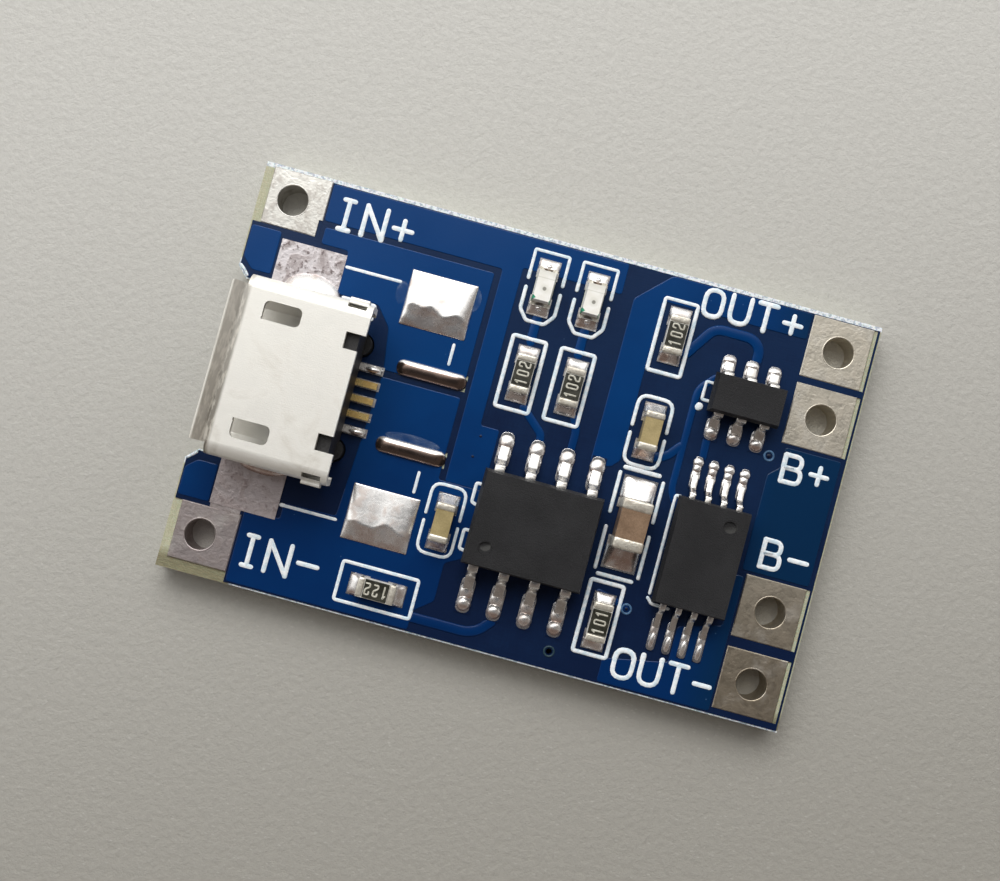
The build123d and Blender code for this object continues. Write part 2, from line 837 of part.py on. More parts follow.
# A strip of sheet, width wide and centred on the XZ plane, along a line of (x, z) points.
# Each bend is a short flat that cuts its corner by the given length.
def bent_strip(points, cut, width, thickness):
    line = [Vector(*points[0])]
    for before, corner, after in zip(points, points[1:], points[2:]):
        here = Vector(*corner)
        line += [here + (Vector(*side) - here).normalized() * cut for side in (before, after)]
    line.append(Vector(*points[-1]))
    edges = []
    for side in (1, -1):
        row = []
        for i, point in enumerate(line):
            into = (point - line[i - 1]).normalized() if i else (line[1] - point).normalized()
            out = (line[i + 1] - point).normalized() if i + 1 < len(line) else into
            across = Vector(-into.Y - out.Y, into.X + out.X).normalized()
            reach = thickness / 2 / math.cos(into.get_angle(out) * math.pi / 360)
            row.append(point + across * reach * side)
        edges.append(row)
    outline = Polygon(*edges[1], *reversed(edges[0]), align=None)
    return Pos(0, width / 2, 0) * extrude(Plane.XZ * outline, width)


# One gull-wing lead along +X, from the parting line down to its foot on the land
def gull_lead(body_half, span, height, width, thickness, foot):
    middle = body_standoff + height / 2
    knee = span / 2 - foot
    shoulder = body_half + (knee - body_half) * lead_shoulder_share
    points = [(body_half - lead_embed, middle), (shoulder, middle), (knee, thickness / 2), (span / 2, thickness / 2)]
    return bent_strip(points, thickness * lead_bend_share, width, thickness)


def both_rows(piece, count, pitch):
    copies = []
    for side in (90, -90):
        copies += [Pos(x, 0, 0) * Rot(0, 0, side) * piece for x in lead_xs(0, count, pitch)]
    return copies


# Body, leads and solder of one chip, placed on its lands
def chip(size, leads, seat, mark_at):
    length, width, height = size
    count, pitch, span, lead_width, thickness, foot = leads
    x, y, land_y, land_span, land_length = seat
    lead = gull_lead(width / 2, span, height, lead_width, thickness, foot)
    row = both_rows(lead, count, pitch)
    body = moulded_body(length, width, height)
    if mark_at:
        body = body - pin_mark(mark_at[0], mark_at[1], height)
    body = body - row
    place = Pos(x, y, land_top)
    joints = []
    for side in (1, -1):
        end = land_span / 2 + side * (land_y - y)
        mound = solder_mound(
            end - land_length, end, lead_width + 2 * joint_margin,
            thickness * heel_share, thickness * crown_share, thickness * toe_share, joint_corner_cut,
        )
        mound = mound - lead
        joints += [place * Pos(lead_x, 0, 0) * Rot(0, 0, 90 * side) * mound for lead_x in lead_xs(0, count, pitch)]
    return place * body, group([place * each for each in row]), group(joints)


# End terminal of a chip resistor: a C section run across the width
def wrapped_end(length, width, height, reach):
    cap = block(length / 2 - reach, length / 2, -width / 2, width / 2, 0, height)
    corner = cap.edges().filter_by(Axis.Y).sort_by(Axis.X)[-2:]
    cap = chamfer(corner, plating * 0.9)
    return cap - block(0, length / 2 - plating, -width, width, plating, height - plating)


def resistor(length, width, height):
    ceramic = block(-length / 2 + plating, length / 2 - plating, -width / 2, width / 2, plating, height - plating)
    end = wrapped_end(length, width, height, resistor_cap_reach)
    coat_length = length - 2 * resistor_cap_reach
    coat = extrude(Rectangle(coat_length, width - plating), overcoat_thickness, taper=overcoat_draft)
    return ceramic, [end, Rot(0, 0, 180) * end], Pos(0, 0, height - plating) * coat


# End terminal of a chip capacitor: a five-sided cap with bevelled edges
def capped_end(length, width, height, reach, core):
    cap = block(length / 2 - reach, length / 2, -width / 2, width / 2, 0, height)
    rim = [edge for edge in cap.edges() if edge.center().X > length / 2 - reach + 0.001]
    return chamfer(rim, cap_edge_bevel) - core


def capacitor(length, width, height, reach):
    core = Pos(0, 0, height / 2) * Box(length - 2 * plating, width - 2 * plating, height - 2 * plating)
    end = capped_end(length, width, height, reach, core)
    return core, [end, Rot(0, 0, 180) * end]


# Indicator light: carrier with a half-round notch in each end, plated ends and a drafted lens
def light():
    length = chip_part_length
    width = chip_part_width
    notch = post(length / 2, 0, light_notch_radius, -over, over)
    carrier = block(
        -length / 2 + plating, length / 2 - plating, -width / 2, width / 2, plating, light_base_height - plating
    )
    carrier = carrier - [post(side * length / 2, 0, light_notch_radius + plating, -over, over) for side in (-1, 1)]
    end = block(
        length / 2 - light_terminal_reach, length / 2, -width / 2, width / 2, 0, light_base_height
    )
    end = end - notch - carrier
    lens_base = Pos(0, 0, light_base_height) * Rectangle(light_lens_length, width - 2 * light_lens_margin)
    lens = extrude(lens_base, light_lens_height, taper=light_lens_draft)
    window = block(
        -length / 2 + light_terminal_reach, length / 2 - light_terminal_reach, -width / 2, width / 2,
        light_base_height - plating, light_base_height,
    )
    return carrier + window, [end, Rot(0, 0, 180) * end], lens


# Solder at both ends of a chip part: it climbs the end and thins out towards the land's edge
def end_solder(length, span, width, height):
    mound = solder_mound(
        length / 2, span / 2, width + 2 * end_joint_margin, height * end_joint_climb_share,
        height * end_joint_middle_share, end_joint_toe, end_joint_corner_cut,
    )
    return [mound, Rot(0, 0, 180) * mound]


def placed(shapes, x, y, turn):
    return [Pos(x, y, land_top) * Rot(0, 0, turn) * shape for shape in shapes]


# Solder that climbs the shell's legs from the side lands
def socket_solder():
    x = shell_front + leg_setback + leg_length / 2
    wall = socket_y + shell_width / 2
    big = solder_mound(
        0, leg_joint_reach, leg_length, leg_joint_climb, leg_joint_middle, leg_joint_toe, leg_joint_corner_cut
    )
    small = solder_mound(
        0, small_leg_joint_reach, leg_length - 2 * small_leg_joint_setback, small_leg_joint_climb,
        small_leg_joint_middle, leg_joint_toe, joint_corner_cut,
    )
    return group([
        Pos(x, wall, land_top) * Rot(0, 0, 90) * big,
        Pos(x, socket_y - shell_width / 2, land_top) * Rot(0, 0, -90) * small,
    ])


def tail_solder():
    pieces = []
    for y in (contact_ys()[0], contact_ys()[-1]):
        mound = solder_mound(
            shell_rear + tail_joint_setback, shell_rear + contact_tail_reach + tail_land_toe, tail_joint_width,
            tail_joint_start, tail_joint_middle, end_joint_toe, end_joint_corner_cut,
        )
        pieces.append(Pos(0, y, land_top) * mound - contact(y))
    return pieces


os.makedirs("parts", exist_ok=True)

save("printed_board_laminate", board_laminate())
save("solder_mask_top", solder_mask_top())
save("solder_mask_bottom", solder_mask_bottom())
for name, x, y, length, width, hole_x in terminals:
    save(name, terminal(name, x, y, length, width, hole_x))
save("via_barrels", via_barrels())
save("chip_lands", lands(chip_lands()))
save("chip_part_lands", lands(chip_part_lands()))
save("socket_side_lands", lands(side_lands()))
save("socket_tail_lands", lands(tail_lands()))
save("spare_lands", group([domed_land(*rectangle) for rectangle in spare_rectangles()]))
save("solder_strips", group([solder_strip(*rectangle) for rectangle in strip_rectangles()]))

save("socket_shell", socket_shell())
save("socket_insulator", socket_insulator())
save("socket_contacts", socket_contacts())
save("socket_solder", group([socket_solder()] + tail_solder()))

charger = chip(
    (charger_length, charger_width, charger_height),
    (charger_lead_count, charger_pitch, charger_span, charger_lead_width, charger_lead_sheet, charger_foot),
    (charger_x, charger_y, charger_land_y, charger_land_span, charger_land_length),
    (-charger_length / 2 + pin_mark_inset, -charger_width / 2 + pin_mark_inset),
)
switch = chip(
    (switch_length, switch_width, switch_height),
    (switch_lead_count, switch_pitch, switch_span, switch_lead_width, switch_lead_sheet, switch_foot),
    (switch_x, switch_y, switch_land_y, switch_land_span, switch_land_length),
    (switch_length / 2 - pin_mark_inset, switch_width / 2 - pin_mark_inset),
)
protection = chip(
    (protection_length, protection_width, protection_height),
    (protection_lead_count, protection_pitch, protection_span, protection_lead_width,
     protection_lead_sheet, protection_foot),
    (protection_x, protection_y, protection_land_y, protection_land_span, protection_land_length),
    None,
)
for name, (body, leads, joints) in {
    "charger_chip": charger, "switch_chip": switch, "protection_chip": protection,
}.items():
    save(f"{name}_body", body)
    save(f"{name}_leads", leads)
    save(f"{name}_solder", joints)

part_solder = []
for name, x, y, turn in resistors:
    ceramic, ends, coat = resistor(chip_part_length, chip_part_width, resistor_height)
    save(f"{name}_body", group(placed([ceramic], x, y, turn)))
    save(f"{name}_ends", group(placed(ends, x, y, turn)))
    save(f"{name}_coat", group(placed([coat], x, y, turn)))
    part_solder += placed(end_solder(chip_part_length, chip_land_span, chip_part_width, resistor_height), x, y, turn)
save("resistor_solder", group(part_solder))

part_solder = []
for name, x, y, turn in capacitors:
    core, ends = capacitor(chip_part_length, chip_part_width, capacitor_height, capacitor_cap_reach)
    save(f"{name}_body", group(placed([core], x, y, turn)))
    save(f"{name}_ends", group(placed(ends, x, y, turn)))
    part_solder += placed(end_solder(chip_part_length, chip_land_span, chip_part_width, capacitor_height), x, y, turn)
core, ends = capacitor(bulk_length, bulk_width, bulk_height, bulk_cap_reach)
save("bulk_capacitor_body", group(placed([core], bulk_x, bulk_y, 90)))
save("bulk_capacitor_ends", group(placed(ends, bulk_x, bulk_y, 90)))
part_solder += placed(end_solder(bulk_length, bulk_land_span, bulk_width, bulk_joint_height), bulk_x, bulk_y, 90)
save("capacitor_solder", group(part_solder))

part_solder = []
for name, x, y, turn in lights:
    carrier, ends, lens = light()
    save(f"{name}_carrier", group(placed([carrier], x, y, turn)))
    save(f"{name}_ends", group(placed(ends, x, y, turn)))
    save(f"{name}_lens", group(placed([lens], x, y, turn)))
    joints = end_solder(chip_part_length, chip_land_span, chip_part_width, light_joint_height)
    part_solder += placed(joints, x, y, turn)
save("light_solder", group(part_solder))
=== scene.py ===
import json
import math

import bmesh
import bpy
from mathutils import Matrix, Vector, noise

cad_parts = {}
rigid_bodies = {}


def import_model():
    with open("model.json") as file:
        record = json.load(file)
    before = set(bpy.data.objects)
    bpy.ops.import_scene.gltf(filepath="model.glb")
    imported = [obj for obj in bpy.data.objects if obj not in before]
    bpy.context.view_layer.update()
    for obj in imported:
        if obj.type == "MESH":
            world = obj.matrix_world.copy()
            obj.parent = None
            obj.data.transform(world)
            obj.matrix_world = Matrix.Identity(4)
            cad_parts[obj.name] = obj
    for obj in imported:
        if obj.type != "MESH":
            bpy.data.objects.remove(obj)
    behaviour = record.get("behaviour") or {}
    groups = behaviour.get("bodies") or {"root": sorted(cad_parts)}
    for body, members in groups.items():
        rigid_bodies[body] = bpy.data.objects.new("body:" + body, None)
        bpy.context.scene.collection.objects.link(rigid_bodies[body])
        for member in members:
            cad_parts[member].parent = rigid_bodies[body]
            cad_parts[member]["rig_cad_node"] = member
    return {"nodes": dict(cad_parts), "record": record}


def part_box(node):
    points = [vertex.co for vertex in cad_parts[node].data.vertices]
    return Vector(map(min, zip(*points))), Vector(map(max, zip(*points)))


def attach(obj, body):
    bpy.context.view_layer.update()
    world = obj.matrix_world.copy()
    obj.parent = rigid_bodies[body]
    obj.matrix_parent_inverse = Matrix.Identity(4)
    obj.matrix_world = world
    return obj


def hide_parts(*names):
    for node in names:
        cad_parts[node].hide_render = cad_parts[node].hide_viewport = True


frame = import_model()
for spare in [o for o in bpy.data.objects if o.type in {"MESH", "LIGHT", "CAMERA"} and "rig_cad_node" not in o]:
    bpy.data.objects.remove(spare)  # what Blender's start-up file leaves behind
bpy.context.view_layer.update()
mm = 0.001
print("frame loaded with", len(frame["nodes"]), "nodes")


def operator(operation, swapped=False):  # one of Value's sums, which adds a Math node
    def combine(self, other):
        first, second = (other, self) if swapped else (self, other)
        return self.finish.sum(operation, first, second)
    return combine


class Value:  # a shader socket that takes part in sums
    def __init__(self, finish, socket):
        self.finish = finish
        self.socket = socket

    __add__, __radd__ = operator("ADD"), operator("ADD", swapped=True)
    __sub__, __rsub__ = operator("SUBTRACT"), operator("SUBTRACT", swapped=True)
    __mul__, __rmul__ = operator("MULTIPLY"), operator("MULTIPLY", swapped=True)
    __pow__, __gt__ = operator("POWER"), operator("GREATER_THAN")

    def __abs__(self):
        return self.finish.sum("ABSOLUTE", self, 0.0)


class Shading:  # a node tree and the nodes that are added to it
    def __init__(self, tree):
        self.tree = tree
        self.tree.nodes.clear()

    def node(self, kind, settings=None, sockets=None, output=0):
        made = self.tree.nodes.new(kind)
        for name, value in (settings or {}).items():
            setattr(made, name, value)
        for name, value in (sockets or {}).items():
            if isinstance(value, Value):
                self.tree.links.new(value.socket, made.inputs[name])
            else:
                made.inputs[name].default_value = value
        return Value(self, made.outputs[output])

    def sum(self, operation, first, second):
        return self.node("ShaderNodeMath", {"operation": operation}, {0: first, 1: second})

    def span(self, value, low, high, start=0.0, end=1.0):
        return self.node("ShaderNodeMapRange", {"interpolation_type": "SMOOTHSTEP"}, {
            "Value": value, "From Min": low, "From Max": high, "To Min": start, "To Max": end})

    def vary(self, value, start, end):  # over the middle of a noise's range
        return self.span(value, 0.3, 0.7, start, end)

    def blend(self, factor, first, second):
        return self.node("ShaderNodeMix", {"data_type": "RGBA"}, {0: factor, 6: first, 7: second}, output=2)

    def part(self, vector, letter):
        return self.node("ShaderNodeSeparateXYZ", None, {0: vector}, output=letter)


class Finish(Shading):  # one material, its patterns and its shader
    def __init__(self, name, **constants):
        self.material = bpy.data.materials.new(name)
        self.material.use_nodes = True
        super().__init__(self.material.node_tree)
        output = self.tree.nodes.new("ShaderNodeOutputMaterial")
        self.shader = self.tree.nodes.new("ShaderNodeBsdfPrincipled")
        self.tree.links.new(self.shader.outputs[0], output.inputs["Surface"])
        for kind, value in constants.items():
            self.shader.inputs[socketNames[kind]].default_value = value
        metres = self.node("ShaderNodeTexCoord", output="Object")
        self.place = self.node("ShaderNodeVectorMath", {"operation": "SCALE"}, {"Vector": metres, "Scale": 1 / mm})

    def stretched(self, stretch):
        return self.node("ShaderNodeMapping", None, {"Vector": self.place, "Scale": stretch})

    def noise(self, scale, detail=3.0, roughness=0.55, distortion=0.0, stretch=(1, 1, 1)):
        return self.node("ShaderNodeTexNoise", None, {
            "Vector": self.stretched(stretch), "Scale": scale, "Detail": detail, "Roughness": roughness,
            "Distortion": distortion})

    def cells(self, scale, stretch=(1, 1, 1)):
        return self.node("ShaderNodeTexVoronoi", None, {"Vector": self.stretched(stretch), "Scale": scale})

    def axis(self, letter):
        return self.part(self.place, letter)

    def facing(self, letter):
        return self.part(self.node("ShaderNodeNewGeometry", output="Normal"), letter)

    def feed(self, **links):
        for kind, value in links.items():
            self.tree.links.new(value.socket, self.shader.inputs[socketNames[kind]])

    def bump(self, height, distance):
        self.feed(normal=self.node("ShaderNodeBump", None, {"Height": height, "Distance": distance * mm}))


socketNames = {
    "colour": "Base Color", "rough": "Roughness", "metal": "Metallic", "coat": "Coat Weight",
    "coatRough": "Coat Roughness", "ior": "IOR", "normal": "Normal", "alpha": "Alpha",
    "specular": "Specular IOR Level", "deep": "Subsurface Weight", "deepReach": "Subsurface Scale",
}


def tone(red, green, blue):  # screen values from 0 to 255 to the shader's own
    steps = [level / 255 for level in (red, green, blue)]
    return tuple(s / 12.92 if s <= 0.04045 else ((s + 0.055) / 1.055) ** 2.4 for s in steps) + (1.0,)


lacquerLook = {"rough": {"laminate": 0.34, "copper": 0.3}, "coatRough": 0.06, "specular": 0.12, "coat": (0.12, 0.28)}
maskLook = {"navy": tone(13, 29, 60), "navyPale": tone(18, 40, 74), "dust": tone(96, 124, 168), "spread": (0.38, 0.68)}


def lacquerOverLaminate():
    paint = Finish("lacquer_over_laminate", rough=lacquerLook["rough"]["laminate"], coatRough=lacquerLook["coatRough"],
                   specular=lacquerLook["specular"])
    weave = paint.noise(2.2, 2.0, stretch=(1, 6, 1)) * 0.5 + paint.noise(2.2, 2.0, stretch=(6, 1, 1)) * 0.5
    cloud = paint.noise(0.35, 3.0)
    # light mixes a random cloud and the weave with painted light: the lacquer is painted paler towards +Y
    light = cloud * 0.5 + weave * 0.3 + paint.span(paint.axis("Y"), -9.0, 9.0) * 0.25
    tint = paint.blend(paint.span(light, *maskLook["spread"]), maskLook["navy"], maskLook["navyPale"])
    tint = paint.blend(paint.span(paint.cells(1.3), 0.02, 0.04, 0.2, 0.0), tint, maskLook["dust"])
    paint.feed(colour=tint, coat=paint.vary(cloud, *lacquerLook["coat"]))
    paint.bump(weave, 0.008)
    return paint.material


copperLook = {
    "deep": tone(3, 42, 92), "bright": tone(1, 57, 114), "shade": tone(7, 41, 71), "dust": tone(120, 160, 205),
    "spread": (0.05, 0.75), "shadeAlong": (8.0, 10.6, 0.0, 0.85),
}


def lacquerOverCopper():
    paint = Finish("lacquer_over_copper", rough=lacquerLook["rough"]["copper"], coatRough=lacquerLook["coatRough"],
                   specular=lacquerLook["specular"])
    cloud = paint.noise(0.30, 3.0)
    fine = paint.noise(9.0, 3.0)
    x, y = paint.axis("X"), paint.axis("Y")
    # light mixes a random cloud with painted light, brighter towards +Y and towards -X
    light = paint.span(y, -8.0, 5.0) * 0.5 + paint.span(x, 9.0, -6.0) * 0.2 + (cloud - 0.5) * 0.8
    tint = paint.blend(paint.span(light, *copperLook["spread"]), copperLook["deep"], copperLook["bright"])
    # painted shade: the lacquer over copper is darker towards the right edge
    tint = paint.blend(paint.span(x, *copperLook["shadeAlong"]), tint, copperLook["shade"])
    tint = paint.blend(paint.span(paint.cells(1.2), 0.02, 0.04, 0.25, 0.0), tint, copperLook["dust"])
    paint.feed(colour=tint, coat=paint.vary(cloud, *lacquerLook["coat"]))
    paint.bump(fine * 0.3 + cloud, 0.01)
    return paint.material


laminateLook = {
    "resin": tone(176, 176, 147), "pale": tone(190, 190, 165), "shade": tone(120, 116, 90),
    "lowEdgePale": tone(140, 136, 108), "cut": tone(218, 222, 214), "ply": tone(176, 176, 146),
    "fray": tone(238, 244, 248), "frayShade": tone(178, 192, 204),
    "minusEdge": (-7.6, -8.1), "plusRim": (8.28, 8.34), "minusRim": (-8.40, -8.46), "minusRimFrom": (-10.0, -9.9),
    "recessRim": (4.4, 4.2), "recessRimFrom": (-11.4, -11.6), "recessMiddle": 0.1,
}


def glassLaminate():
    paint = Finish("glass_laminate", rough=0.62, deep=0.12, deepReach=0.0006)
    x, y, look = paint.axis("X"), paint.axis("Y"), laminateLook
    warp = paint.noise(3.0, 2.0, stretch=(1, 9, 1))
    weft = paint.noise(3.0, 2.0, stretch=(9, 1, 1))
    tint = paint.blend(paint.span(warp * 0.5 + weft * 0.5, 0.4, 0.6), look["resin"], look["pale"])
    plies = paint.noise(1.4, 4.0, stretch=(2, 2, 26))
    edge = paint.blend(paint.span(plies, 0.35, 0.65), look["ply"], look["cut"])
    # the laminate turns darker and browner towards the -Y edge
    lowEdgeTint = paint.blend(paint.span(warp, 0.4, 0.6), look["shade"], look["lowEdgePale"])
    tint = paint.blend(paint.span(y, *look["minusEdge"]), tint, lowEdgeTint)
    rim = paint.span(y, *look["plusRim"]) + paint.span(x, *look["minusRimFrom"]) * paint.span(y, *look["minusRim"])
    rim = rim + paint.span(abs(y - look["recessMiddle"]), *look["recessRim"]) * paint.span(x, *look["recessRimFrom"])
    fray = paint.blend(paint.span(paint.noise(7.0, 3.0), 0.40, 0.54), look["frayShade"], look["fray"])
    side = paint.span(paint.facing("Z"), 0.5, 0.2)
    paint.feed(colour=paint.blend(side, paint.blend(rim, tint, fray), edge))
    paint.bump(plies * side + paint.noise(14.0, 4.0) * 0.6, 0.03)
    return paint.material


tinLook = {
    "warm": tone(222, 215, 200), "shaded": tone(172, 161, 143), "cool": tone(208, 206, 200),
    "pink": tone(186, 176, 175), "stain": tone(128, 114, 106), "clean": tone(242, 240, 234),
}


def hotTin():
    paint = Finish("hot_tin", metal=1.0)
    x, y = paint.axis("X"), paint.axis("Y")
    cloud = paint.noise(0.9, 4.0)
    flow = paint.noise(2.6, 5.0, 0.62, 0.6)
    # painted shade: the tin is darker towards -Y
    warm = paint.blend(paint.span(y, 3.5, -7.5), tinLook["warm"], tinLook["shaded"])
    tint = paint.blend(paint.span(x, 4.0, -6.0), warm, tinLook["cool"])
    tint = paint.blend(paint.span(x, -6.0, -8.0) * paint.span(y, 0.0, -4.0), tint, tinLook["pink"])
    stained = paint.span(flow, 0.46, 0.64) * paint.span(x, 4.0, -6.0, 0.14, 0.34)
    tint = paint.blend(stained, tint, tinLook["stain"])
    tint = paint.blend(paint.span(cloud, 0.5, 0.7, 0.0, 0.3), tint, tinLook["clean"])
    paint.feed(colour=tint, rough=paint.vary(flow, 0.38, 0.5))
    paint.bump(flow * 0.6 + paint.noise(8.0, 3.0) * 0.4, 0.02)
    return paint.material


solderLook = {"bright": tone(244, 242, 240), "dull": tone(204, 186, 176), "flux": tone(176, 140, 122)}


def setSolder():
    paint = Finish("set_solder", metal=0.82)
    cloud = paint.noise(2.0, 3.0, 0.5, 0.4)
    grain = paint.noise(9.0, 3.0)
    tint = paint.blend(paint.span(cloud, 0.45, 0.68, 0.0, 0.6), solderLook["bright"], solderLook["dull"])
    # painted shade: faces turned towards -Y are tinted a patchy brown
    low = paint.span(paint.facing("Y"), -0.05, -0.4, 0.0, 0.7) * paint.span(paint.noise(1.1, 3.0), 0.4, 0.6, 0.35, 1.0)
    tint = paint.blend(low, tint, solderLook["flux"])
    paint.feed(colour=tint, rough=paint.span(cloud * 0.6 + grain * 0.4, 0.35, 0.65, 0.2, 0.32))
    paint.bump(cloud + grain * 0.02, 0.008)
    return paint.material


etchedLook = {"pale": tone(214, 208, 210), "grey": tone(166, 157, 157), "dark": tone(118, 108, 108),
              "pink": tone(182, 168, 166)}


def etchedTin():  # the lands beside the socket, mottled by the flux
    paint = Finish("etched_tin", metal=0.8)
    cloud = paint.noise(1.5, 5.0, 0.66, 0.8)
    fleck = paint.noise(5.0, 4.0, 0.62)
    tint = paint.blend(paint.span(cloud, 0.44, 0.62), etchedLook["pale"], etchedLook["grey"])
    tint = paint.blend(paint.span(fleck, 0.54, 0.62) * paint.span(cloud, 0.40, 0.54), tint, etchedLook["dark"])
    tint = paint.blend(paint.span(paint.axis("Y"), 2.0, -2.0, 0.0, 0.6), tint, etchedLook["pink"])
    paint.feed(colour=tint, rough=paint.vary(cloud, 0.32, 0.52))
    paint.bump(cloud * 0.5 + fleck * 0.5, 0.03)
    return paint.material


nickelLook = {
    "clear": tone(250, 248, 241), "smudge": tone(214, 209, 198), "rub": tone(186, 182, 174), "lip": tone(196, 190, 178),
    "lipDirt": tone(122, 115, 104), "scratch": tone(112, 108, 100),
    "lipRoot": (-11.56, -11.72), "lipTip": (-12.34, -12.22), "lipCrease": (-12.05, -11.85, 0.45, 1.0),
    "scratchAt": (-10.3, -1.2), "scratchRun": (0.873, 0.488), "scratchWidth": (0.24, 0.03, 0.0, 0.8),
    "scratchTop": (-0.7, -1.2), "scratchEnd": (-2.9, -2.4), "scratchLevel": (3.9, 4.05),
}


def satinNickel():
    paint = Finish("satin_nickel", metal=0.45)
    x, y, look = paint.axis("X"), paint.axis("Y"), nickelLook
    smudge = paint.noise(0.55, 4.0, 0.6, 0.8)
    rub = paint.noise(3.0, 4.0, stretch=(1, 14, 1))
    worn = paint.span(smudge, 0.5, 0.74) * paint.span(y, 2.5, -3.5, 0.25, 0.8)
    tint = paint.blend(worn, look["clear"], look["smudge"])
    tint = paint.blend(paint.span(rub, 0.58, 0.75, 0.0, 0.18), tint, look["rub"])
    shadeAndScratchBreakup = paint.noise(1.7, 4.0, 0.6, stretch=(5, 1, 1))
    # painted shade on the shell's curled front edge, deeper towards -Y, and darker painted shade in its crease, broken
    # up by noise
    lip = paint.span(x, *look["lipRoot"]) * paint.span(x, *look["lipTip"]) * paint.span(y, 4.0, -3.0, 0.62, 0.9)
    creaseShade = paint.span(shadeAndScratchBreakup, 0.38, 0.56) * paint.span(x, *look["lipCrease"])
    tint = paint.blend(lip, tint, paint.blend(creaseShade, look["lip"], look["lipDirt"]))
    (startX, startY), (runX, runY) = look["scratchAt"], look["scratchRun"]
    line = abs((x - startX) * runX - (y - startY) * runY + (smudge - 0.5) * 0.8)
    scratch = paint.span(line, *look["scratchWidth"]) * paint.span(y, *look["scratchTop"])
    scratch = scratch * paint.span(y, *look["scratchEnd"]) * paint.span(shadeAndScratchBreakup, 0.4, 0.55)
    scratch = scratch * paint.span(paint.axis("Z"), *look["scratchLevel"])
    tint = paint.blend(scratch, tint, look["scratch"])
    paint.feed(colour=tint, rough=paint.vary(smudge * 0.6 + rub * 0.4, 0.34, 0.46))
    paint.bump(rub * 0.5 + paint.noise(16.0, 3.0) * 0.5, 0.006)
    return paint.material


goldLook = {"bright": tone(248, 216, 142), "deep": tone(222, 184, 112), "tinned": tone(234, 230, 224),
            "middle": 0.1, "tinnedFrom": (1.0, 1.1)}


def flashGold():  # the two outer tails are tinned over
    paint = Finish("flash_gold", metal=0.6)
    wear = paint.noise(3.0, 4.0)
    outer = paint.span(abs(paint.axis("Y") - goldLook["middle"]), *goldLook["tinnedFrom"])
    tint = paint.blend(paint.span(wear, 0.4, 0.7), goldLook["bright"], goldLook["deep"])
    paint.feed(colour=paint.blend(outer, tint, goldLook["tinned"]), rough=paint.vary(wear, 0.22, 0.36))
    paint.bump(wear, 0.006)
    return paint.material


mouldingLook = {
    "face": tone(30, 30, 32), "light": tone(40, 40, 42), "grit": tone(66, 65, 63), "dimplePaintedLight": tone(88, 88, 86),
    "dimplePaintedShade": tone(14, 14, 15),
    "marks": [  # middle, radius, where the pin mark turns from painted light to painted shade
        ((-0.36, -4.19), 0.25, (-0.1, 0.06)), ((8.83, -0.97), 0.3, (-0.3, 0.1)),
    ],
}


def chipMoulding():
    paint = Finish("chip_moulding", specular=0.28)
    grain = paint.noise(16.0, 5.0, 0.7)
    cloud = paint.noise(0.7, 3.0)
    tint = paint.blend(paint.span(grain * 0.5 + cloud * 0.5, 0.38, 0.64), mouldingLook["face"], mouldingLook["light"])
    tint = paint.blend(paint.span(paint.cells(11.0), 0.05, 0.12, 0.4, 0.0), tint, mouldingLook["grit"])
    # each pin mark is painted: painted light on its side towards -Y and +X, painted shade on its side towards +Y and -X
    for (x, y), radius, darker in mouldingLook["marks"]:
        u, v = paint.axis("X") - x, paint.axis("Y") - y
        inside = paint.span((u * u + v * v) ** 0.5, radius, radius - 0.06, 0.0, 0.55)
        pinMarkLightAndShade = paint.blend(paint.span(v - u * 0.5, *darker), mouldingLook["dimplePaintedLight"], mouldingLook["dimplePaintedShade"])
        tint = paint.blend(inside, tint, pinMarkLightAndShade)
    paint.feed(colour=tint, rough=paint.vary(grain, 0.48, 0.66))
    paint.bump(grain, 0.02)
    return paint.material


lensLook = {
    "cream": tone(254, 253, 249), "milk": tone(246, 244, 236), "die": tone(132, 131, 122), "seam": tone(206, 205, 192),
    "mark": tone(38, 150, 112), "middles": (-0.755, 1.295), "dieY": 6.30,
}


def lensResin():  # the die, its frame and the green mark show through the resin
    paint = Finish("lens_resin", rough=0.3, ior=1.5)
    cloud = paint.noise(2.4, 3.0)
    left, right = lensLook["middles"]
    u = paint.axis("X") - (paint.axis("X") > (left + right) / 2) * (right - left) - left
    v = paint.axis("Y") - lensLook["dieY"]
    away = (u * u + v * v) ** 0.5
    tint = paint.blend(paint.span(cloud, 0.35, 0.65), lensLook["cream"], lensLook["milk"])
    tint = paint.blend(paint.span(abs(v - 0.43), 0.035, 0.01, 0.0, 0.5), tint, lensLook["seam"])
    tint = paint.blend(paint.span(v, 0.42, 0.7, 0.0, 0.35), tint, lensLook["seam"])
    tint = paint.blend(paint.span(away, 0.26, 0.1, 0.0, 0.3), tint, lensLook["seam"])
    tint = paint.blend(paint.span(away, 0.1, 0.055, 0.0, 0.9), tint, lensLook["die"])
    tint = paint.blend(paint.span(u + abs(v + 0.42) * 1.3, -0.22, -0.27), tint, lensLook["mark"])
    tint = paint.blend(paint.span(u - abs(v + 0.46) * 0.6, 0.27, 0.32), tint, lensLook["mark"])
    paint.feed(colour=tint, coat=paint.vary(cloud, 0.15, 0.35))
    paint.bump(cloud, 0.01)
    return paint.material


def cloudedFinish(name, look, **constants):  # two tones in a cloud, and the gloss and the relief follow it
    paint = Finish(name, **constants)
    cloud = paint.noise(*look["cloud"])
    tint = paint.blend(paint.span(cloud, *look["spread"]), look["first"], look["second"])
    paint.feed(colour=tint, **{kind: paint.vary(cloud, *look[kind]) for kind in ("rough", "coat") if kind in look})
    relief = cloud
    if "grain" in look:
        share, scale, detail = look["grain"]
        grain = paint.noise(scale, detail)
        relief = cloud + grain * share if share < 1 else grain
    paint.bump(relief, look["relief"])
    return paint.material


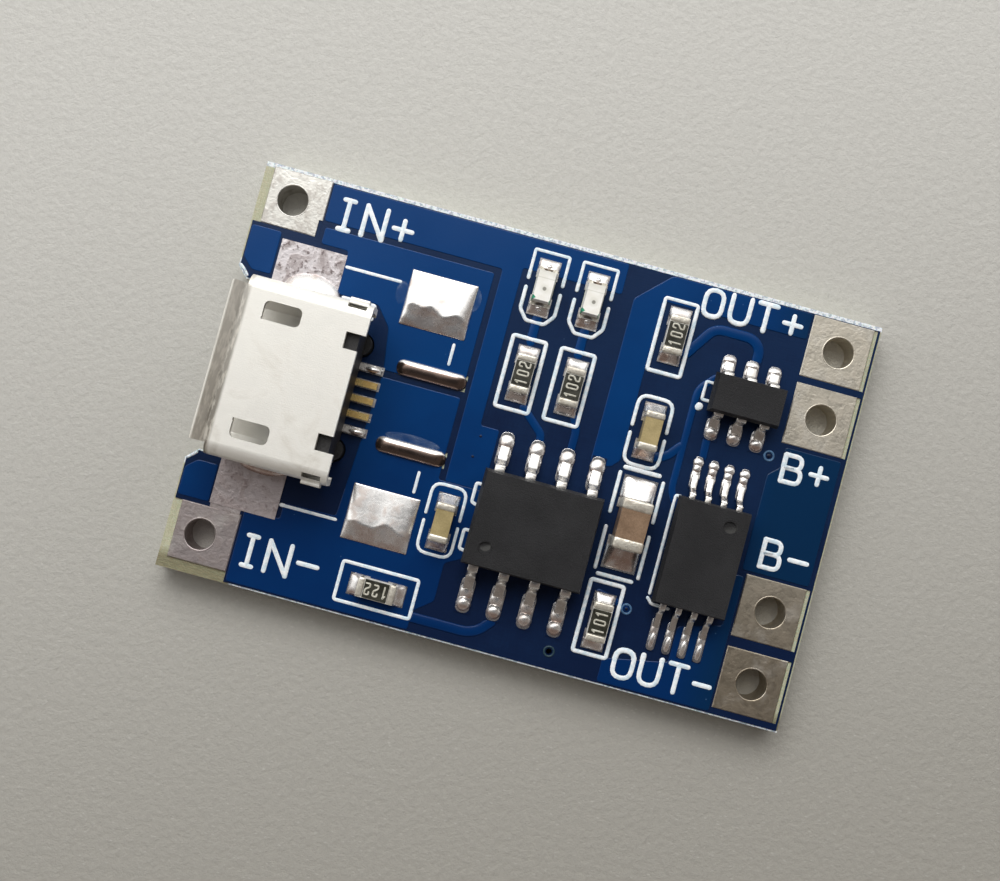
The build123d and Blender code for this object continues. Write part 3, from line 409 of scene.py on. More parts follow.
# cloud: scale, detail, roughness, distortion; spread: from, to, and the blend there;
# grain: its share beside the cloud (1 is the grain alone), scale, detail
wettedLook = {"cloud": (2.8, 4.0, 0.6, 0.5), "spread": (0.42, 0.62), "first": tone(226, 225, 226),
              "second": tone(194, 188, 185), "rough": (0.22, 0.36), "relief": 0.012}
nylonLook = {"cloud": (14.0, 3.0), "spread": (0.35, 0.65), "first": tone(22, 21, 22), "second": tone(38, 37, 38),
             "rough": (0.42, 0.6), "relief": 0.008}
leadLook = {"cloud": (3.4, 4.0), "spread": (0.4, 0.7, 0.0, 0.6), "first": tone(234, 232, 228),
            "second": tone(184, 176, 168), "rough": (0.22, 0.36), "grain": (1, 12.0, 3.0), "relief": 0.004}
endLook = {"cloud": (3.8, 4.0), "spread": (0.42, 0.66, 0.0, 0.6), "first": tone(226, 221, 208),
           "second": tone(170, 160, 146), "rough": (0.26, 0.46), "grain": (1, 9.0, 4.0), "relief": 0.02}
carrierLook = {"cloud": (6.0, 3.0), "spread": (0.35, 0.65), "first": tone(214, 214, 196), "second": tone(190, 194, 176),
               "relief": 0.01}
coatLook = {"cloud": (3.0, 4.0), "spread": (0.35, 0.65), "first": tone(34, 34, 26), "second": tone(54, 53, 42),
            "rough": (0.3, 0.5), "coat": (0.2, 0.5), "grain": (0.3, 15.0, 3.0), "relief": 0.02}
legendInk = {"cloud": (5.0, 4.0), "spread": (0.35, 0.6), "first": tone(214, 232, 243), "second": tone(246, 250, 253),
             "rough": (0.45, 0.6), "grain": (0.4, 22.0, 3.0), "relief": 0.02}
numberInk = {"cloud": (9.0, 4.0), "spread": (0.35, 0.65), "first": tone(176, 172, 158), "second": tone(216, 214, 202),
             "rough": (0.5, 0.65), "relief": 0.01}


def firedCeramic(name, dark, pale):
    paint = Finish(name, rough=0.42, ior=1.6)
    cloud = paint.noise(1.6, 4.0)
    grain = paint.noise(18.0, 3.0)
    tint = paint.blend(paint.span(cloud * 0.6 + grain * 0.4, 0.36, 0.64), dark, pale)
    paint.feed(colour=tint, coat=paint.vary(cloud, 0.1, 0.3))
    paint.bump(grain * 0.4 + cloud * 0.6, 0.015)
    return paint.material


finishes = {
    "laminate": glassLaminate(),
    "solder_mask": lacquerOverLaminate(),
    "tinned_copper": hotTin(),
    "solder": setSolder(),
    "shell_nickel": satinNickel(),
    "insulator": cloudedFinish("black_nylon", nylonLook, ior=1.5),
    "contact_gold": flashGold(),
    "chip_moulding": chipMoulding(),
    "lead_tin": cloudedFinish("lead_tin", leadLook, metal=1.0),
    "light_lens": lensResin(),
    "light_carrier": cloudedFinish("light_carrier", carrierLook, rough=0.5),
    "end_tin": cloudedFinish("end_tin", endLook, metal=0.6),
    "resistor_coat": cloudedFinish("glass_coat", coatLook, coatRough=0.1, ior=1.5),
    "bulk_ceramic": firedCeramic("bulk_ceramic_body", tone(118, 94, 72), tone(144, 118, 94)),
    "capacitor_ceramic": firedCeramic("capacitor_ceramic_body", tone(152, 136, 92), tone(178, 160, 114)),
    "resistor_ceramic": firedCeramic("resistor_ceramic_body", tone(206, 204, 196), tone(232, 230, 224)),
}
for node in frame["nodes"].values():
    for slot in node.material_slots:
        slot.material = finishes[slot.material.name.split(".")[0]]
wetted = cloudedFinish("wetted_land", wettedLook, metal=1.0)
landFinishes = {
    "chip_part_lands": wetted, "socket_tail_lands": wetted, "chip_lands": finishes["solder_mask"],
    "via_barrels": finishes["solder_mask"], "socket_side_lands": etchedTin(),
}
for name, finish in landFinishes.items():
    for slot in frame["nodes"][name].material_slots:
        slot.material = finish
print("finishes on the frame:", len(finishes))


def placed(name, data):
    made = bpy.data.objects.new(name, data)
    bpy.context.scene.collection.objects.link(made)
    return made


def keep(name, mesh, finish):  # a finished mesh becomes a piece of the part
    piece = placed(name, mesh)
    mesh.materials.clear()
    mesh.materials.append(finish)
    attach(piece, "root")
    return piece


def meshOf(name, work, smooth=False):
    mesh = bpy.data.meshes.new(name)
    work.to_mesh(mesh)
    work.free()
    for face in mesh.polygons:
        face.use_smooth = smooth
    return mesh


def settle(name, work, finish, instead=None):  # a bmesh in mm becomes a piece, in place of a CAD node
    work.transform(Matrix.Scale(mm, 4))
    piece = keep(name, meshOf(name, work, smooth=True), finish)
    if instead:
        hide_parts(instead)


def takeIn(work, piece):  # one closed bmesh joins another, its faces outwards
    bmesh.ops.recalc_face_normals(piece, faces=piece.faces)
    if piece.calc_volume(signed=True) < 0:
        bmesh.ops.reverse_faces(piece, faces=piece.faces)
    draft = meshOf("draft", piece)
    work.from_mesh(draft)
    bpy.data.meshes.remove(draft)


def newVerts(grown):
    return [v for v in grown["geom"] if isinstance(v, bmesh.types.BMVert)]


def roundEdges(work, edges, offset, segments=2):
    bmesh.ops.bevel(work, geom=edges, offset=offset, offset_type="OFFSET", affect="EDGES", segments=segments,
                    profile=0.5, material=-1)


def roundCorners(points, radius, closed=False):
    if radius <= 0:
        return list(points)
    smooth = []
    count = len(points)
    for i, corner in enumerate(points):
        if not closed and i in (0, count - 1):
            smooth.append(tuple(corner))
            continue
        here = Vector(corner)
        before, after = Vector(points[i - 1]) - here, Vector(points[(i + 1) % count]) - here
        cut = min(radius, before.length * 0.5, after.length * 0.5)
        start, end = here + before.normalized() * cut, here + after.normalized() * cut
        for step in range(5):
            t = step / 4
            smooth.append(tuple(start * (1 - t) ** 2 + here * 2 * t * (1 - t) + end * t * t))
    return smooth


def strokeMesh(name, strokes, low, high, ring=2):  # raised lines, each a width, its points and whether it is closed
    work = bmesh.new()
    for width in sorted({stroke[0] for stroke in strokes}):  # one width at a time, so that all have one height
        lines = [(points, closed) for wide, points, closed in strokes if wide == width]
        layer = ribbonMesh(name, width, lines, ring)
        layer.transform(Matrix.Diagonal((1, 1, (high - low) / width, 1)))
        work.from_mesh(layer)
        bpy.data.meshes.remove(layer)
    bmesh.ops.translate(work, verts=work.verts, vec=(0, 0, (low + high) / 2 * mm))
    return meshOf(name, work, smooth=True)


def ribbonMesh(name, width, lines, ring):  # round lines of one width, with rounded ends
    curve = bpy.data.curves.new(name, "CURVE")
    curve.dimensions = "3D"
    curve.bevel_depth = mm
    curve.bevel_resolution = ring
    curve.use_fill_caps = True
    half = width / 2
    for points, closed in lines:
        path = [(Vector(p), 1.0) for p in points]
        if not closed:
            tips = []
            for last, inner in ((points[0], points[1]), (points[-1], points[-2])):
                out = (Vector(last) - Vector(inner)).normalized()
                tips.append([(Vector(last) + out * half * math.sin(a), math.cos(a)) for a in (0.5, 0.95, 1.3, 1.5)])
            path = tips[0][::-1] + path + tips[1]
        spline = curve.splines.new("POLY")
        spline.points.add(len(path) - 1)
        for point, (spot, share) in zip(spline.points, path):
            point.co = (spot.x * mm, spot.y * mm, 0, 1)
            point.radius = half * share
        spline.use_cyclic_u = closed
    draft = placed(name + "_draft", curve)
    mesh = bpy.data.meshes.new_from_object(draft.evaluated_get(bpy.context.evaluated_depsgraph_get()))
    bpy.data.objects.remove(draft)
    bpy.data.curves.remove(curve)
    return mesh


def plateMesh(name, outlines, low, high, edge):  # flat plates with a small rounding at the top
    work = bmesh.new()
    for outline in outlines:
        face = work.faces.new([work.verts.new((x * mm, y * mm, low * mm)) for x, y in outline])
        raised = newVerts(bmesh.ops.extrude_face_region(work, geom=[face]))
        bmesh.ops.translate(work, verts=raised, vec=(0, 0, (high - low) * mm))
    bmesh.ops.recalc_face_normals(work, faces=work.faces)
    rims = [e for e in work.edges if all(v.co.z > (low + high) / 2 * mm for v in e.verts)]
    roundEdges(work, rims, edge * mm)
    return meshOf(name, work)


relief = {
    "low": 1.29, "top": 1.345, "edge": 0.03, "corner": 0.12, "bend": 0.3,
    "pours": {
        "copper_plus_band": [(-10.12, 6.74), (-2.61, 6.74), (-2.61, -2.2), (-1.0, -2.2), (-1.0, 0.37), (-1.8, 0.37),
                             (-1.8, 7.0), (2.35, 7.0), (2.35, 8.30), (-10.12, 8.30)],
        "copper_middle": [(-10.0, 6.5), (-10.0, 5.8), (-8.85, 5.8), (-8.85, 4.0), (-7.1, 4.0), (-6.45, 3.2),
                          (-6.2, 1.5), (-2.87, 1.5), (-2.87, 6.5)],
        "copper_ground": [(-6.2, 1.22), (-2.87, 1.22), (-2.87, -2.2), (-1.0, -2.2), (-1.0, -5.0), (-1.75, -5.4),
                          (-1.75, -7.0), (-2.5, -7.6), (-2.5, -8.38), (-10.1, -8.38), (-10.1, -5.4), (-8.65, -5.4),
                          (-8.65, -4.75), (-6.5, -4.7), (-6.35, -2.0)],
        "copper_output_bar": [(2.87, 7.0), (4.2, 8.30), (10.1, 8.30), (10.1, 7.2), (4.05, 7.2), (4.05, 0.45),
                              (3.7, 0.1), (2.87, 0.1)],
        "copper_output_minus": [(5.4, -8.38), (10.1, -8.38), (10.1, -2.75), (9.75, -2.75), (9.75, -4.9),
                                (8.0, -5.4), (8.0, -6.9), (5.4, -7.4)],
        "copper_battery": [(9.95, -2.5), (12.75, -2.5), (12.75, 2.75), (10.4, 2.75), (10.4, 1.9), (9.95, 1.5)],
        "copper_corner_plus": [(-12.9, 5.85), (-12.9, 4.5), (-12.45, 4.05), (-11.65, 4.05), (-11.65, 5.85)],
        "copper_corner_minus": [(-12.9, -5.5), (-11.6, -5.5), (-11.6, -3.95), (-12.45, -3.95), (-12.9, -4.35)],
    },
    "tracks": [
        (0.45, [(5.53, 5.4), (6.3, 6.53), (6.63, 6.67), (7.97, 6.67), (8.37, 6.33), (8.37, 5.8)]),
        (0.32, [(6.9, 4.7), (6.35, 4.1), (6.35, -0.2), (6.7, -0.7)]),
        (0.42, [(-0.72, 5.2), (-0.72, 4.2)]), (0.42, [(1.28, 5.2), (1.28, 4.2)]),
        (0.36, [(-0.3, 1.5), (0.1, 1.15), (0.68, 0.62), (0.68, 0.2)]),
        (0.36, [(1.8, 1.6), (2.0, 1.2), (2.0, 0.2)]),
        (0.4, [(5.3, 0.95), (5.8, 1.1), (6.25, 1.65)]),
        (0.36, [(7.2, 2.6), (7.25, 1.5)]),
        (0.45, [(-2.6, -7.85), (-0.2, -7.85), (0.3, -7.65), (0.68, -7.2)]),
        (0.3, [(4.6, -4.9), (5.4, -5.1), (5.83, -5.27)]),
    ],
}


def raisedCopper():
    finish = lacquerOverCopper()
    for name, outline in relief["pours"].items():
        rounded = roundCorners(outline, relief["corner"], True)
        keep(name, plateMesh(name, [rounded], relief["low"], relief["top"], relief["edge"]), finish)
    tracks = [(width, roundCorners(points, relief["bend"]), False) for width, points in relief["tracks"]]
    keep("copper_tracks", strokeMesh("copper_tracks", tracks, relief["low"], relief["top"]), finish)


raisedCopper()
print("copper relief made")

letters = {
    "I": [[(0, 0), (1, 0)], [(0.5, 0), (0.5, 1)], [(0, 1), (1, 1)]],
    "N": [[(0, 0), (0, 1)], [(0, 1), (1, 0)], [(1, 0), (1, 1)]],
    "O": [[(0, 0), (1, 0), (1, 1), (0, 1)]],
    "U": [[(0, 1), (0, 0), (1, 0), (1, 1)]],
    "T": [[(0, 1), (1, 1)], [(0.5, 1), (0.5, 0)]],
    "B": [[(0, 0), (0, 1)], [(0, 1), (0.92, 1), (0.92, 0.52), (0, 0.52)], [(0, 0.52), (1, 0.52), (1, 0), (0, 0)]],
    "+": [[(0, 0.5), (1, 0.5)], [(0.5, 0), (0.5, 1)]],
    "-": [[(0, 0.5), (1, 0.5)]],
    "0": [[(0, 0), (1, 0), (1, 1), (0, 1)]],
    "1": [[(0.5, 0), (0.5, 1)], [(0.5, 1), (0.1, 0.8)]],
    "2": [[(0, 0.75), (0, 1), (1, 1), (1, 0.55), (0, 0.3), (0, 0), (1, 0)]],
}
cornerShare = {"O": 0.5, "U": 0.5, "B": 0.34, "0": 0.4, "2": 0.3}


def letterStrokes(letter, left, right, low, high, width):
    wide, tall = right - left - width, high - low - width
    for shape in letters[letter]:
        spots = [(left + width / 2 + u * wide, low + width / 2 + v * tall) for u, v in shape]
        closed = letter in "O0"
        yield width, roundCorners(spots, cornerShare.get(letter, 0) * max(wide, 0.01), closed), closed


legend = {
    "stroke": 0.232, "low": 1.30, "high": 1.362,
    "words": {
        "legend_in_plus": [("I", -9.62, -8.98, 6.46, 7.92), ("N", -8.66, -7.58, 6.46, 7.92),
                           ("+", -7.42, -6.44, 6.71, 7.69)],
        "legend_in_minus": [("I", -9.76, -9.14, -7.7, -6.24), ("N", -8.84, -7.72, -7.7, -6.24),
                            ("-", -7.55, -6.55, -7.02, -6.83)],
        "legend_out_plus": [("O", 5.58, 6.55, 6.98, 8.3), ("U", 6.68, 7.69, 6.98, 8.3), ("T", 7.8, 8.76, 6.98, 8.3),
                            ("+", 8.94, 9.86, 7.19, 8.11)],
        "legend_out_minus": [("O", 5.78, 6.78, -8.12, -6.77), ("U", 6.88, 7.89, -8.12, -6.77),
                             ("T", 8.03, 8.96, -8.12, -6.77), ("-", 9.14, 10.0, -7.54, -7.35)],
        "legend_battery_plus": [("B", 10.4, 11.38, 1.27, 2.6), ("+", 11.55, 12.45, 1.5, 2.4)],
        "legend_battery_minus": [("B", 10.46, 11.44, -2.3, -0.95), ("-", 11.6, 12.54, -1.72, -1.53)],
    },
}


def terminalLegends():
    for name, word in legend["words"].items():
        strokes = [stroke for letter in word for stroke in letterStrokes(*letter, legend["stroke"])]
        keep(name, strokeMesh(name, strokes, legend["low"], legend["high"]), ink)


def boxPath(left, right, low, high):
    return [(left, low), (right, low), (right, high), (left, high)]


def circlePath(x, y, radius, steps=20):
    return [(x + radius * math.cos(2 * math.pi * i / steps), y + radius * math.sin(2 * math.pi * i / steps))
            for i in range(steps)]


marks = {
    "low": 1.30, "high": 1.36, "stroke": 0.175, "fine": 0.16, "corner": 0.1, "bend": 0.08, "arc": 0.42,
    "resistors": [(-1.47, -0.08, 1.3, 4.28), (0.57, 1.97, 1.3, 4.28), (4.12, 5.5, 4.35, 7.38),
                  (-5.7, -2.55, -7.95, -6.35), (4.15, 5.53, -7.42, -4.45)],
    "lights": {"middles": (-0.78, 1.26), "half": 0.72, "halfFoot": 0.38, "hat": (6.7, 7.9), "pinMarkLightAndShade": (6.3, 5.4, 4.98)},
    "small": [(-3.02, -1.6, -5.2, -2.33, -3.93, -3.6), (4.13, 5.57, 0.45, 3.3, 1.68, 2.03)],
    "lines": [
        (0.16, [(-8.73, 5.15), (-6.47, 5.15)]), (0.16, [(-8.73, -4.85), (-6.47, -4.85)]),
        (0.16, [(-3.7, 3.22), (-3.7, 2.42)]), (0.16, [(-3.7, -2.15), (-3.7, -2.95)]),
        (0.14, [(-8.55, 3.92), (-7.2, 3.92), (-7.2, 3.35)]),
        (0.17, [(-1.02, -1.93), (-1.34, -1.93), (-1.34, -2.72), (-1.16, -2.78)]),
        (0.17, [(-1.02, -3.86), (-1.34, -3.86), (-1.34, -4.66), (-1.1, -4.7)]),
        (0.14, [(6.95, 4.5), (6.6, 4.5), (6.6, 3.74), (6.95, 3.74)]),
        (0.14, [(6.78, -0.3), (6.58, -0.3), (6.58, -4.4)]), (0.14, [(6.55, -4.6), (6.75, -4.8), (7.45, -4.82)]),
        (0.16, [(4.17, 0.02), (4.17, -1.62)]), (0.16, [(4.17, -2.25), (4.17, -3.95)]),
        (0.16, [(5.97, 0.02), (5.97, -1.62)]), (0.16, [(5.97, -2.25), (5.97, -3.95)]),
        (0.19, [(4.32, 0.27), (5.74, 0.27)]), (0.17, [(4.34, -4.17), (5.74, -4.17)]),
        (0.12, [(6.76, -2.49), (6.78, -2.49)]), (0.34, [(6.55, 3.42), (6.56, 3.43)]),
    ],
}


def outlineMarks():
    fine, lights = marks["fine"], marks["lights"]
    strokes = []
    for box in marks["resistors"]:
        strokes.append((marks["stroke"], roundCorners(boxPath(*box), marks["corner"], True), True))
    for x in lights["middles"]:
        left, right, foot = x - lights["half"], x + lights["half"], lights["halfFoot"]
        (gap, top), (rim, shoulder, floor) = lights["hat"], lights["pinMarkLightAndShade"]
        strokes.append((fine, roundCorners([(left, gap), (left, top), (right, top), (right, gap)], 0.06), False))
        strokes.append((fine, roundCorners([(left, rim), (left, shoulder), (x - foot, floor), (x + foot, floor),
                                            (right, shoulder), (right, rim)], marks["corner"]), False))
    for left, right, low, high, gapLow, gapHigh in marks["small"]:
        for gap, end in ((gapHigh, high), (gapLow, low)):
            arc = roundCorners([(left, gap), (left, end), (right, end), (right, gap)], marks["arc"])
            strokes.append((fine, arc, False))
    strokes += [(width, roundCorners(points, marks["bend"]), False) for width, points in marks["lines"]]
    keep("outline_marks", strokeMesh("outline_marks", strokes, marks["low"], marks["high"]), ink)


ink = cloudedFinish("legend_ink", legendInk, ior=1.5)
terminalLegends()
outlineMarks()
print("legends and outlines made")


def separateBoxes(nodeName):  # the low and high corners, in mm, of each solid of a CAD node
    work = bmesh.new()
    work.from_mesh(frame["nodes"][nodeName].data)
    bmesh.ops.remove_doubles(work, verts=work.verts, dist=0.001 * mm)
    boxes, seen = [], set()
    for start in work.verts:
        if start in seen:
            continue
        solid, edge = [], [start]
        seen.add(start)
        while edge:
            here = edge.pop()
            solid.append(here.co)
            fresh = {vert for link in here.link_edges for vert in link.verts} - seen
            seen |= fresh
            edge += fresh
        boxes.append(tuple(Vector([pick(spot[i] for spot in solid) for i in range(3)]) / mm for pick in (min, max)))
    work.free()
    return boxes


dropLook = {"around": 24, "rings": 14, "below": 0.02}


def droplet(work, middle, halfX, halfY, height, sink=0.3, lean=(0, 0)):  # a drop of solder, cut flat where it lies
    drop = bmesh.new()
    bmesh.ops.create_uvsphere(drop, u_segments=dropLook["around"], v_segments=dropLook["rings"], radius=1.0)
    slant = Matrix.Identity(4)  # the drop falls off along lean
    slant[2][0], slant[2][1] = -lean[0], -lean[1]
    grow = Matrix.Diagonal((halfX, halfY, height * (1 + sink), 1))
    drop.transform(Matrix.Translation((middle[0], middle[1], middle[2] - sink * height)) @ slant @ grow)
    cut = bmesh.ops.bisect_plane(drop, geom=drop.verts[:] + drop.edges[:] + drop.faces[:], clear_inner=True,
                                 plane_co=(0, 0, middle[2] - dropLook["below"]), plane_no=(0, 0, 1))
    bmesh.ops.contextual_create(drop, geom=[e for e in cut["geom_cut"] if isinstance(e, bmesh.types.BMEdge)])
    takeIn(work, drop)


drops = {  # along each joint from the part outwards: middle, half length, half width, height, fall, how far it is sunk
    "charger_chip": [(0.42, 0.30, 0.64, 0.34, 0.1, 0.9), (0.75, 0.29, 0.74, 0.40, 0.26, 1.6)],
    "charger_chip_lower": [(0.42, 0.30, 0.60, 0.34, 0.1, 0.9), (0.77, 0.25, 0.66, 0.62, 0.3, 0.9)],
    "switch_chip": [(0.42, 0.30, 0.60, 0.36, 0.1, 0.9), (0.66, 0.20, 0.58, 0.44, 0.2, 1.2),
                    (0.84, 0.19, 0.72, 0.36, 0.24, 1.6)],
    "switch_chip_lower": [(0.38, 0.28, 0.52, 0.36, 0.1, 0.9), (0.72, 0.32, 0.46, 0.60, 0.26, 0.8)],
    "protection_chip": [(0.45, 0.36, 0.62, 0.40, 0.1, 0.9), (0.78, 0.25, 0.66, 0.44, 0.26, 1.4)],
    "protection_chip_lower": [(0.45, 0.36, 0.60, 0.40, 0.1, 0.9), (0.72, 0.32, 0.60, 0.80, 0.3, 0.6)],
}
fillets = {  # the height left at the land's edge, and how straight the slope is
    "resistor": (0.05, 0.4), "capacitor": (0.05, 0.72), "light": (0.04, 0.6), "landTop": 1.29, "under": 0.04,
    "lightEnd": {"in": 0.06, "half": (0.2, 0.17), "height": 0.2, "sunk": 0.5},
}
carriers = {
    "charger_chip": ["charger_chip_body"], "switch_chip": ["switch_chip_body"],
    "protection_chip": ["protection_chip_body"],
    "resistor": ["charging_light_resistor_body", "full_light_resistor_body", "supply_resistor_body",
                 "programming_resistor_body", "sense_resistor_body"],
    "capacitor": ["input_capacitor_body", "supply_capacitor_body", "bulk_capacitor_body"],
    "light": ["charging_light_carrier", "full_light_carrier"],
}


def solderSlope(work, low, high, along, sign, toe, straight):  # highest at the part, down to the land's edge
    slope = bmesh.new()
    bmesh.ops.create_cube(slope, size=1.0)
    bmesh.ops.subdivide_edges(slope, edges=slope.edges[:], cuts=7, use_grid_fill=True)
    size, middle, across = high - low, (low + high) / 2, 1 - along
    for vert in slope.verts:
        out, side = min(max(0.5 + vert.co[along] * sign, 0.0), 1.0), vert.co[across] * 2
        lump = 0.1 * noise.noise(Vector((middle.x + side * 0.8, middle.y + out * 1.3, 0.5)))
        fall = straight * (1 - out) + (1 - straight) * (1 - out) ** 2.4 + lump * (1 - out)
        tall = (toe + (size.z - toe) * fall * (1 - 0.3 * side ** 4)) * max((1 - 0.6 * side ** 6) * (1 - out ** 8), 0.25)
        spot = middle + vert.co * size
        vert.co = (spot.x, spot.y, low.z + (vert.co.z + 0.5) * tall)
    takeIn(work, slope)


def solderDrops():
    landBoxes = separateBoxes("chip_part_lands")
    for group, bodies in carriers.items():
        centres = [sum(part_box(body), Vector()) / 2 / mm for body in bodies]
        work = bmesh.new()
        for low, high in separateBoxes(group + "_solder"):
            middle, size = (low + high) / 2, high - low
            out = middle - min(centres, key=lambda c: (c - middle).length)
            along = 1 if group.endswith("chip") or abs(out.y) > abs(out.x) else 0
            sign = 1 if out[along] > 0 else -1
            near = low[along] if sign > 0 else high[along]
            if group in fillets:
                land = min(landBoxes, key=lambda box: ((box[0] + box[1]) / 2 - middle).xy.length)
                start, end = Vector((*land[0].xy, fillets["landTop"])), Vector((*land[1].xy, high.z))
                (start if sign > 0 else end)[along] = near - fillets["under"] * sign
                toe, straight = fillets[group]
                solderSlope(work, start, end, along, sign, low.z + toe - start.z, straight)
                if group == "light":  # solder stands in the notched ends
                    form = fillets["lightEnd"]
                    spot = (middle.x, near + form["in"] * sign, low.z)
                    droplet(work, spot, *form["half"], form["height"], form["sunk"])
                continue
            lower = group + "_lower" if sign < 0 and group + "_lower" in drops else group
            for share, halfLong, halfWide, tall, fall, sunk in drops[lower]:
                spot = [middle.x, middle.y, low.z]
                spot[along] = near + sign * share * size[along]
                half = [halfWide * size.x, halfWide * size.y]
                half[along] = halfLong * size[along]
                lean = [0.0, 0.0]
                lean[along] = fall * sign
                droplet(work, spot, *half, tall * size.z, sunk, lean)
        settle(group + "_solder_drops", work, finishes["solder"], group + "_solder")


def cushion(work, low, high, edge):  # a block with rounded edges
    shape = bmesh.new()
    bmesh.ops.create_cube(shape, size=1.0)
    shape.transform(Matrix.Translation((low + high) / 2) @ Matrix.Diagonal((*(high - low), 1)))
    roundEdges(shape, shape.edges[:], edge, 4)
    takeIn(work, shape)


roundedEnds = {
    "charging_light_resistor": 0.085, "full_light_resistor": 0.085, "supply_resistor": 0.085,
    "programming_resistor": 0.085, "sense_resistor": 0.085, "input_capacitor": 0.09, "supply_capacitor": 0.09,
    "bulk_capacitor": 0.11,
}


def plumpEnds():
    for part, edge in roundedEnds.items():
        work = bmesh.new()
        for low, high in separateBoxes(part + "_ends"):
            cushion(work, low, high, edge)
        settle(part + "_end_caps", work, finishes["end_tin"], part + "_ends")


def bentSheet(path, width, thick, edge):  # a strip of sheet along a path in a plane of constant X
    strip = bmesh.new()
    side = Vector((width / 2, 0, 0))
    ends = [strip.verts.new(path[0] - side), strip.verts.new(path[0] + side)]
    strip.edges.new(ends)
    for here, there in zip(path, path[1:]):
        line = [e for e in ends[0].link_edges if e.other_vert(ends[0]) is ends[1]]
        ends = newVerts(bmesh.ops.extrude_edge_only(strip, edges=line))
        bmesh.ops.translate(strip, verts=ends, vec=there - here)
    bmesh.ops.recalc_face_normals(strip, faces=strip.faces)
    bmesh.ops.solidify(strip, geom=strip.faces[:], thickness=thick)
    sharp = [e for e in strip.edges if len(e.link_faces) == 2 and e.calc_face_angle() > 1.2]
    roundEdges(strip, sharp, edge)
    return strip


leadForms = {
    "charger_chip": {"shoulder": 0.447, "foot": 0.62, "sheet": 0.20, "turn": 0.17, "edge": 0.05, "tip": 0.17,
                     "bow": 0.07},
    "switch_chip": {"shoulder": 0.428, "foot": 0.60, "sheet": 0.13, "turn": 0.12, "edge": 0.035, "tip": 0.15,
                    "bow": 0.06},
    "protection_chip": {"shoulder": 0.298, "foot": 0.40, "sheet": 0.14, "turn": 0.11, "edge": 0.04, "tip": 0.10,
                        "bow": 0.05},
}


def formedLeads():
    for chip, form in leadForms.items():
        centre = sum(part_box(chip + "_body"), Vector()) / 2 / mm
        work = bmesh.new()
        for low, high in separateBoxes(chip + "_leads"):
            up = 1 if low.y + high.y > 2 * centre.y else -1
            root, toe = (low.y, high.y) if up > 0 else (high.y, low.y)
            x, foot, crown = (low.x + high.x) / 2, low.z + form["sheet"] / 2, high.z - form["sheet"] / 2
            corners = [(x, root, crown), (x, root + up * form["shoulder"] * 0.6, crown),
                       (x, root + up * form["shoulder"], crown - form["bow"]),
                       (x, toe - up * form["foot"], foot + form["tip"]), (x, toe, foot)]
            path = [Vector(p) for p in roundCorners(corners, form["turn"])]
            strip = bentSheet(path, high.x - low.x, form["sheet"], form["edge"])
            lowest = min(v.co.z for v in strip.verts)
            bmesh.ops.translate(strip, verts=strip.verts, vec=(0, 0, low.z - lowest))
            takeIn(work, strip)
        settle(chip + "_formed_leads", work, finishes["lead_tin"], chip + "_leads")


landLook = {"inset": 0.01, "corner": 0.46, "sunk": 0.04, "rise": 0.012, "edge": 0.01}


def tinnedLands():  # lacquer covers the corners of the chips' lands, and the tin between is rounded
    inset, outlines = landLook["inset"], []
    for low, high in separateBoxes("chip_lands"):
        path = boxPath(low.x + inset, high.x - inset, low.y + inset, high.y - inset)
        outlines.append(roundCorners(path, (high.x - low.x) * landLook["corner"], True))
    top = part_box("chip_lands")[1].z / mm
    shape = plateMesh("tinned_lands", outlines, top - landLook["sunk"], top + landLook["rise"], landLook["edge"])
    keep("tinned_lands", shape, wetted)


jointLook = {
    "longer": 1.5, "shift": 0.05, "side": (0.62, 1.22, 0.75), "sideSunk": 0.35, "plusFall": 0.12, "minusFall": -0.2,
    "tail": (0.55, 0.55, 1.0), "tailSunk": 0.8, "tailLean": (0.1, 0.3),
}


def socketJoints():  # half-domes against the shell's sides, drops on the outer tails
    work = bmesh.new()
    for low, high in separateBoxes("socket_solder"):
        size, middle = high - low, (low + high) / 2
        if size.x > jointLook["longer"]:
            inner, fall = (low.y, jointLook["plusFall"]) if middle.y > 0 else (high.y, jointLook["minusFall"])
            half = size * Vector(jointLook["side"])
            droplet(work, (middle.x + jointLook["shift"], inner, low.z), *half, jointLook["sideSunk"], (0, fall))
        else:
            half = size * Vector(jointLook["tail"])
            droplet(work, (middle.x, middle.y, low.z), *half, jointLook["tailSunk"], jointLook["tailLean"])
    lowest, highest = (corner.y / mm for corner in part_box("socket_side_lands"))
    for vert in work.verts:
        vert.co.y = min(max(vert.co.y, lowest), highest)
    settle("socket_joint_domes", work, finishes["solder"], "socket_solder")


rimLook = {"wide": 0.09, "steps": 48, "out": 0.012, "rise": 0.006}


def roundedRims():  # the plating turns smoothly into each terminal's hole
    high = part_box("input_plus_terminal")[1].z / mm + rimLook["rise"]
    rings = []
    for bore in frame["record"]["mounts"]:
        if bore["kind"] == "bore":
            x, y, _ = (place / mm for place in bore["pos_m"])
            path = circlePath(x, y, bore["dims"]["r_mm"] + rimLook["out"], rimLook["steps"])
            rings.append((rimLook["wide"], path, True))
    shape = strokeMesh("hole_rims", rings, high - rimLook["wide"], high)
    keep("hole_rims", shape, finishes["tinned_copper"])


spareLook = {"steps": 44, "crown": 0.30, "edge": 0.09, "lump": 0.02, "lumpScale": 2.1, "ridge": -0.30,
             "ridgeSway": 0.22, "calm": 0.12, "crumple": 3.0}


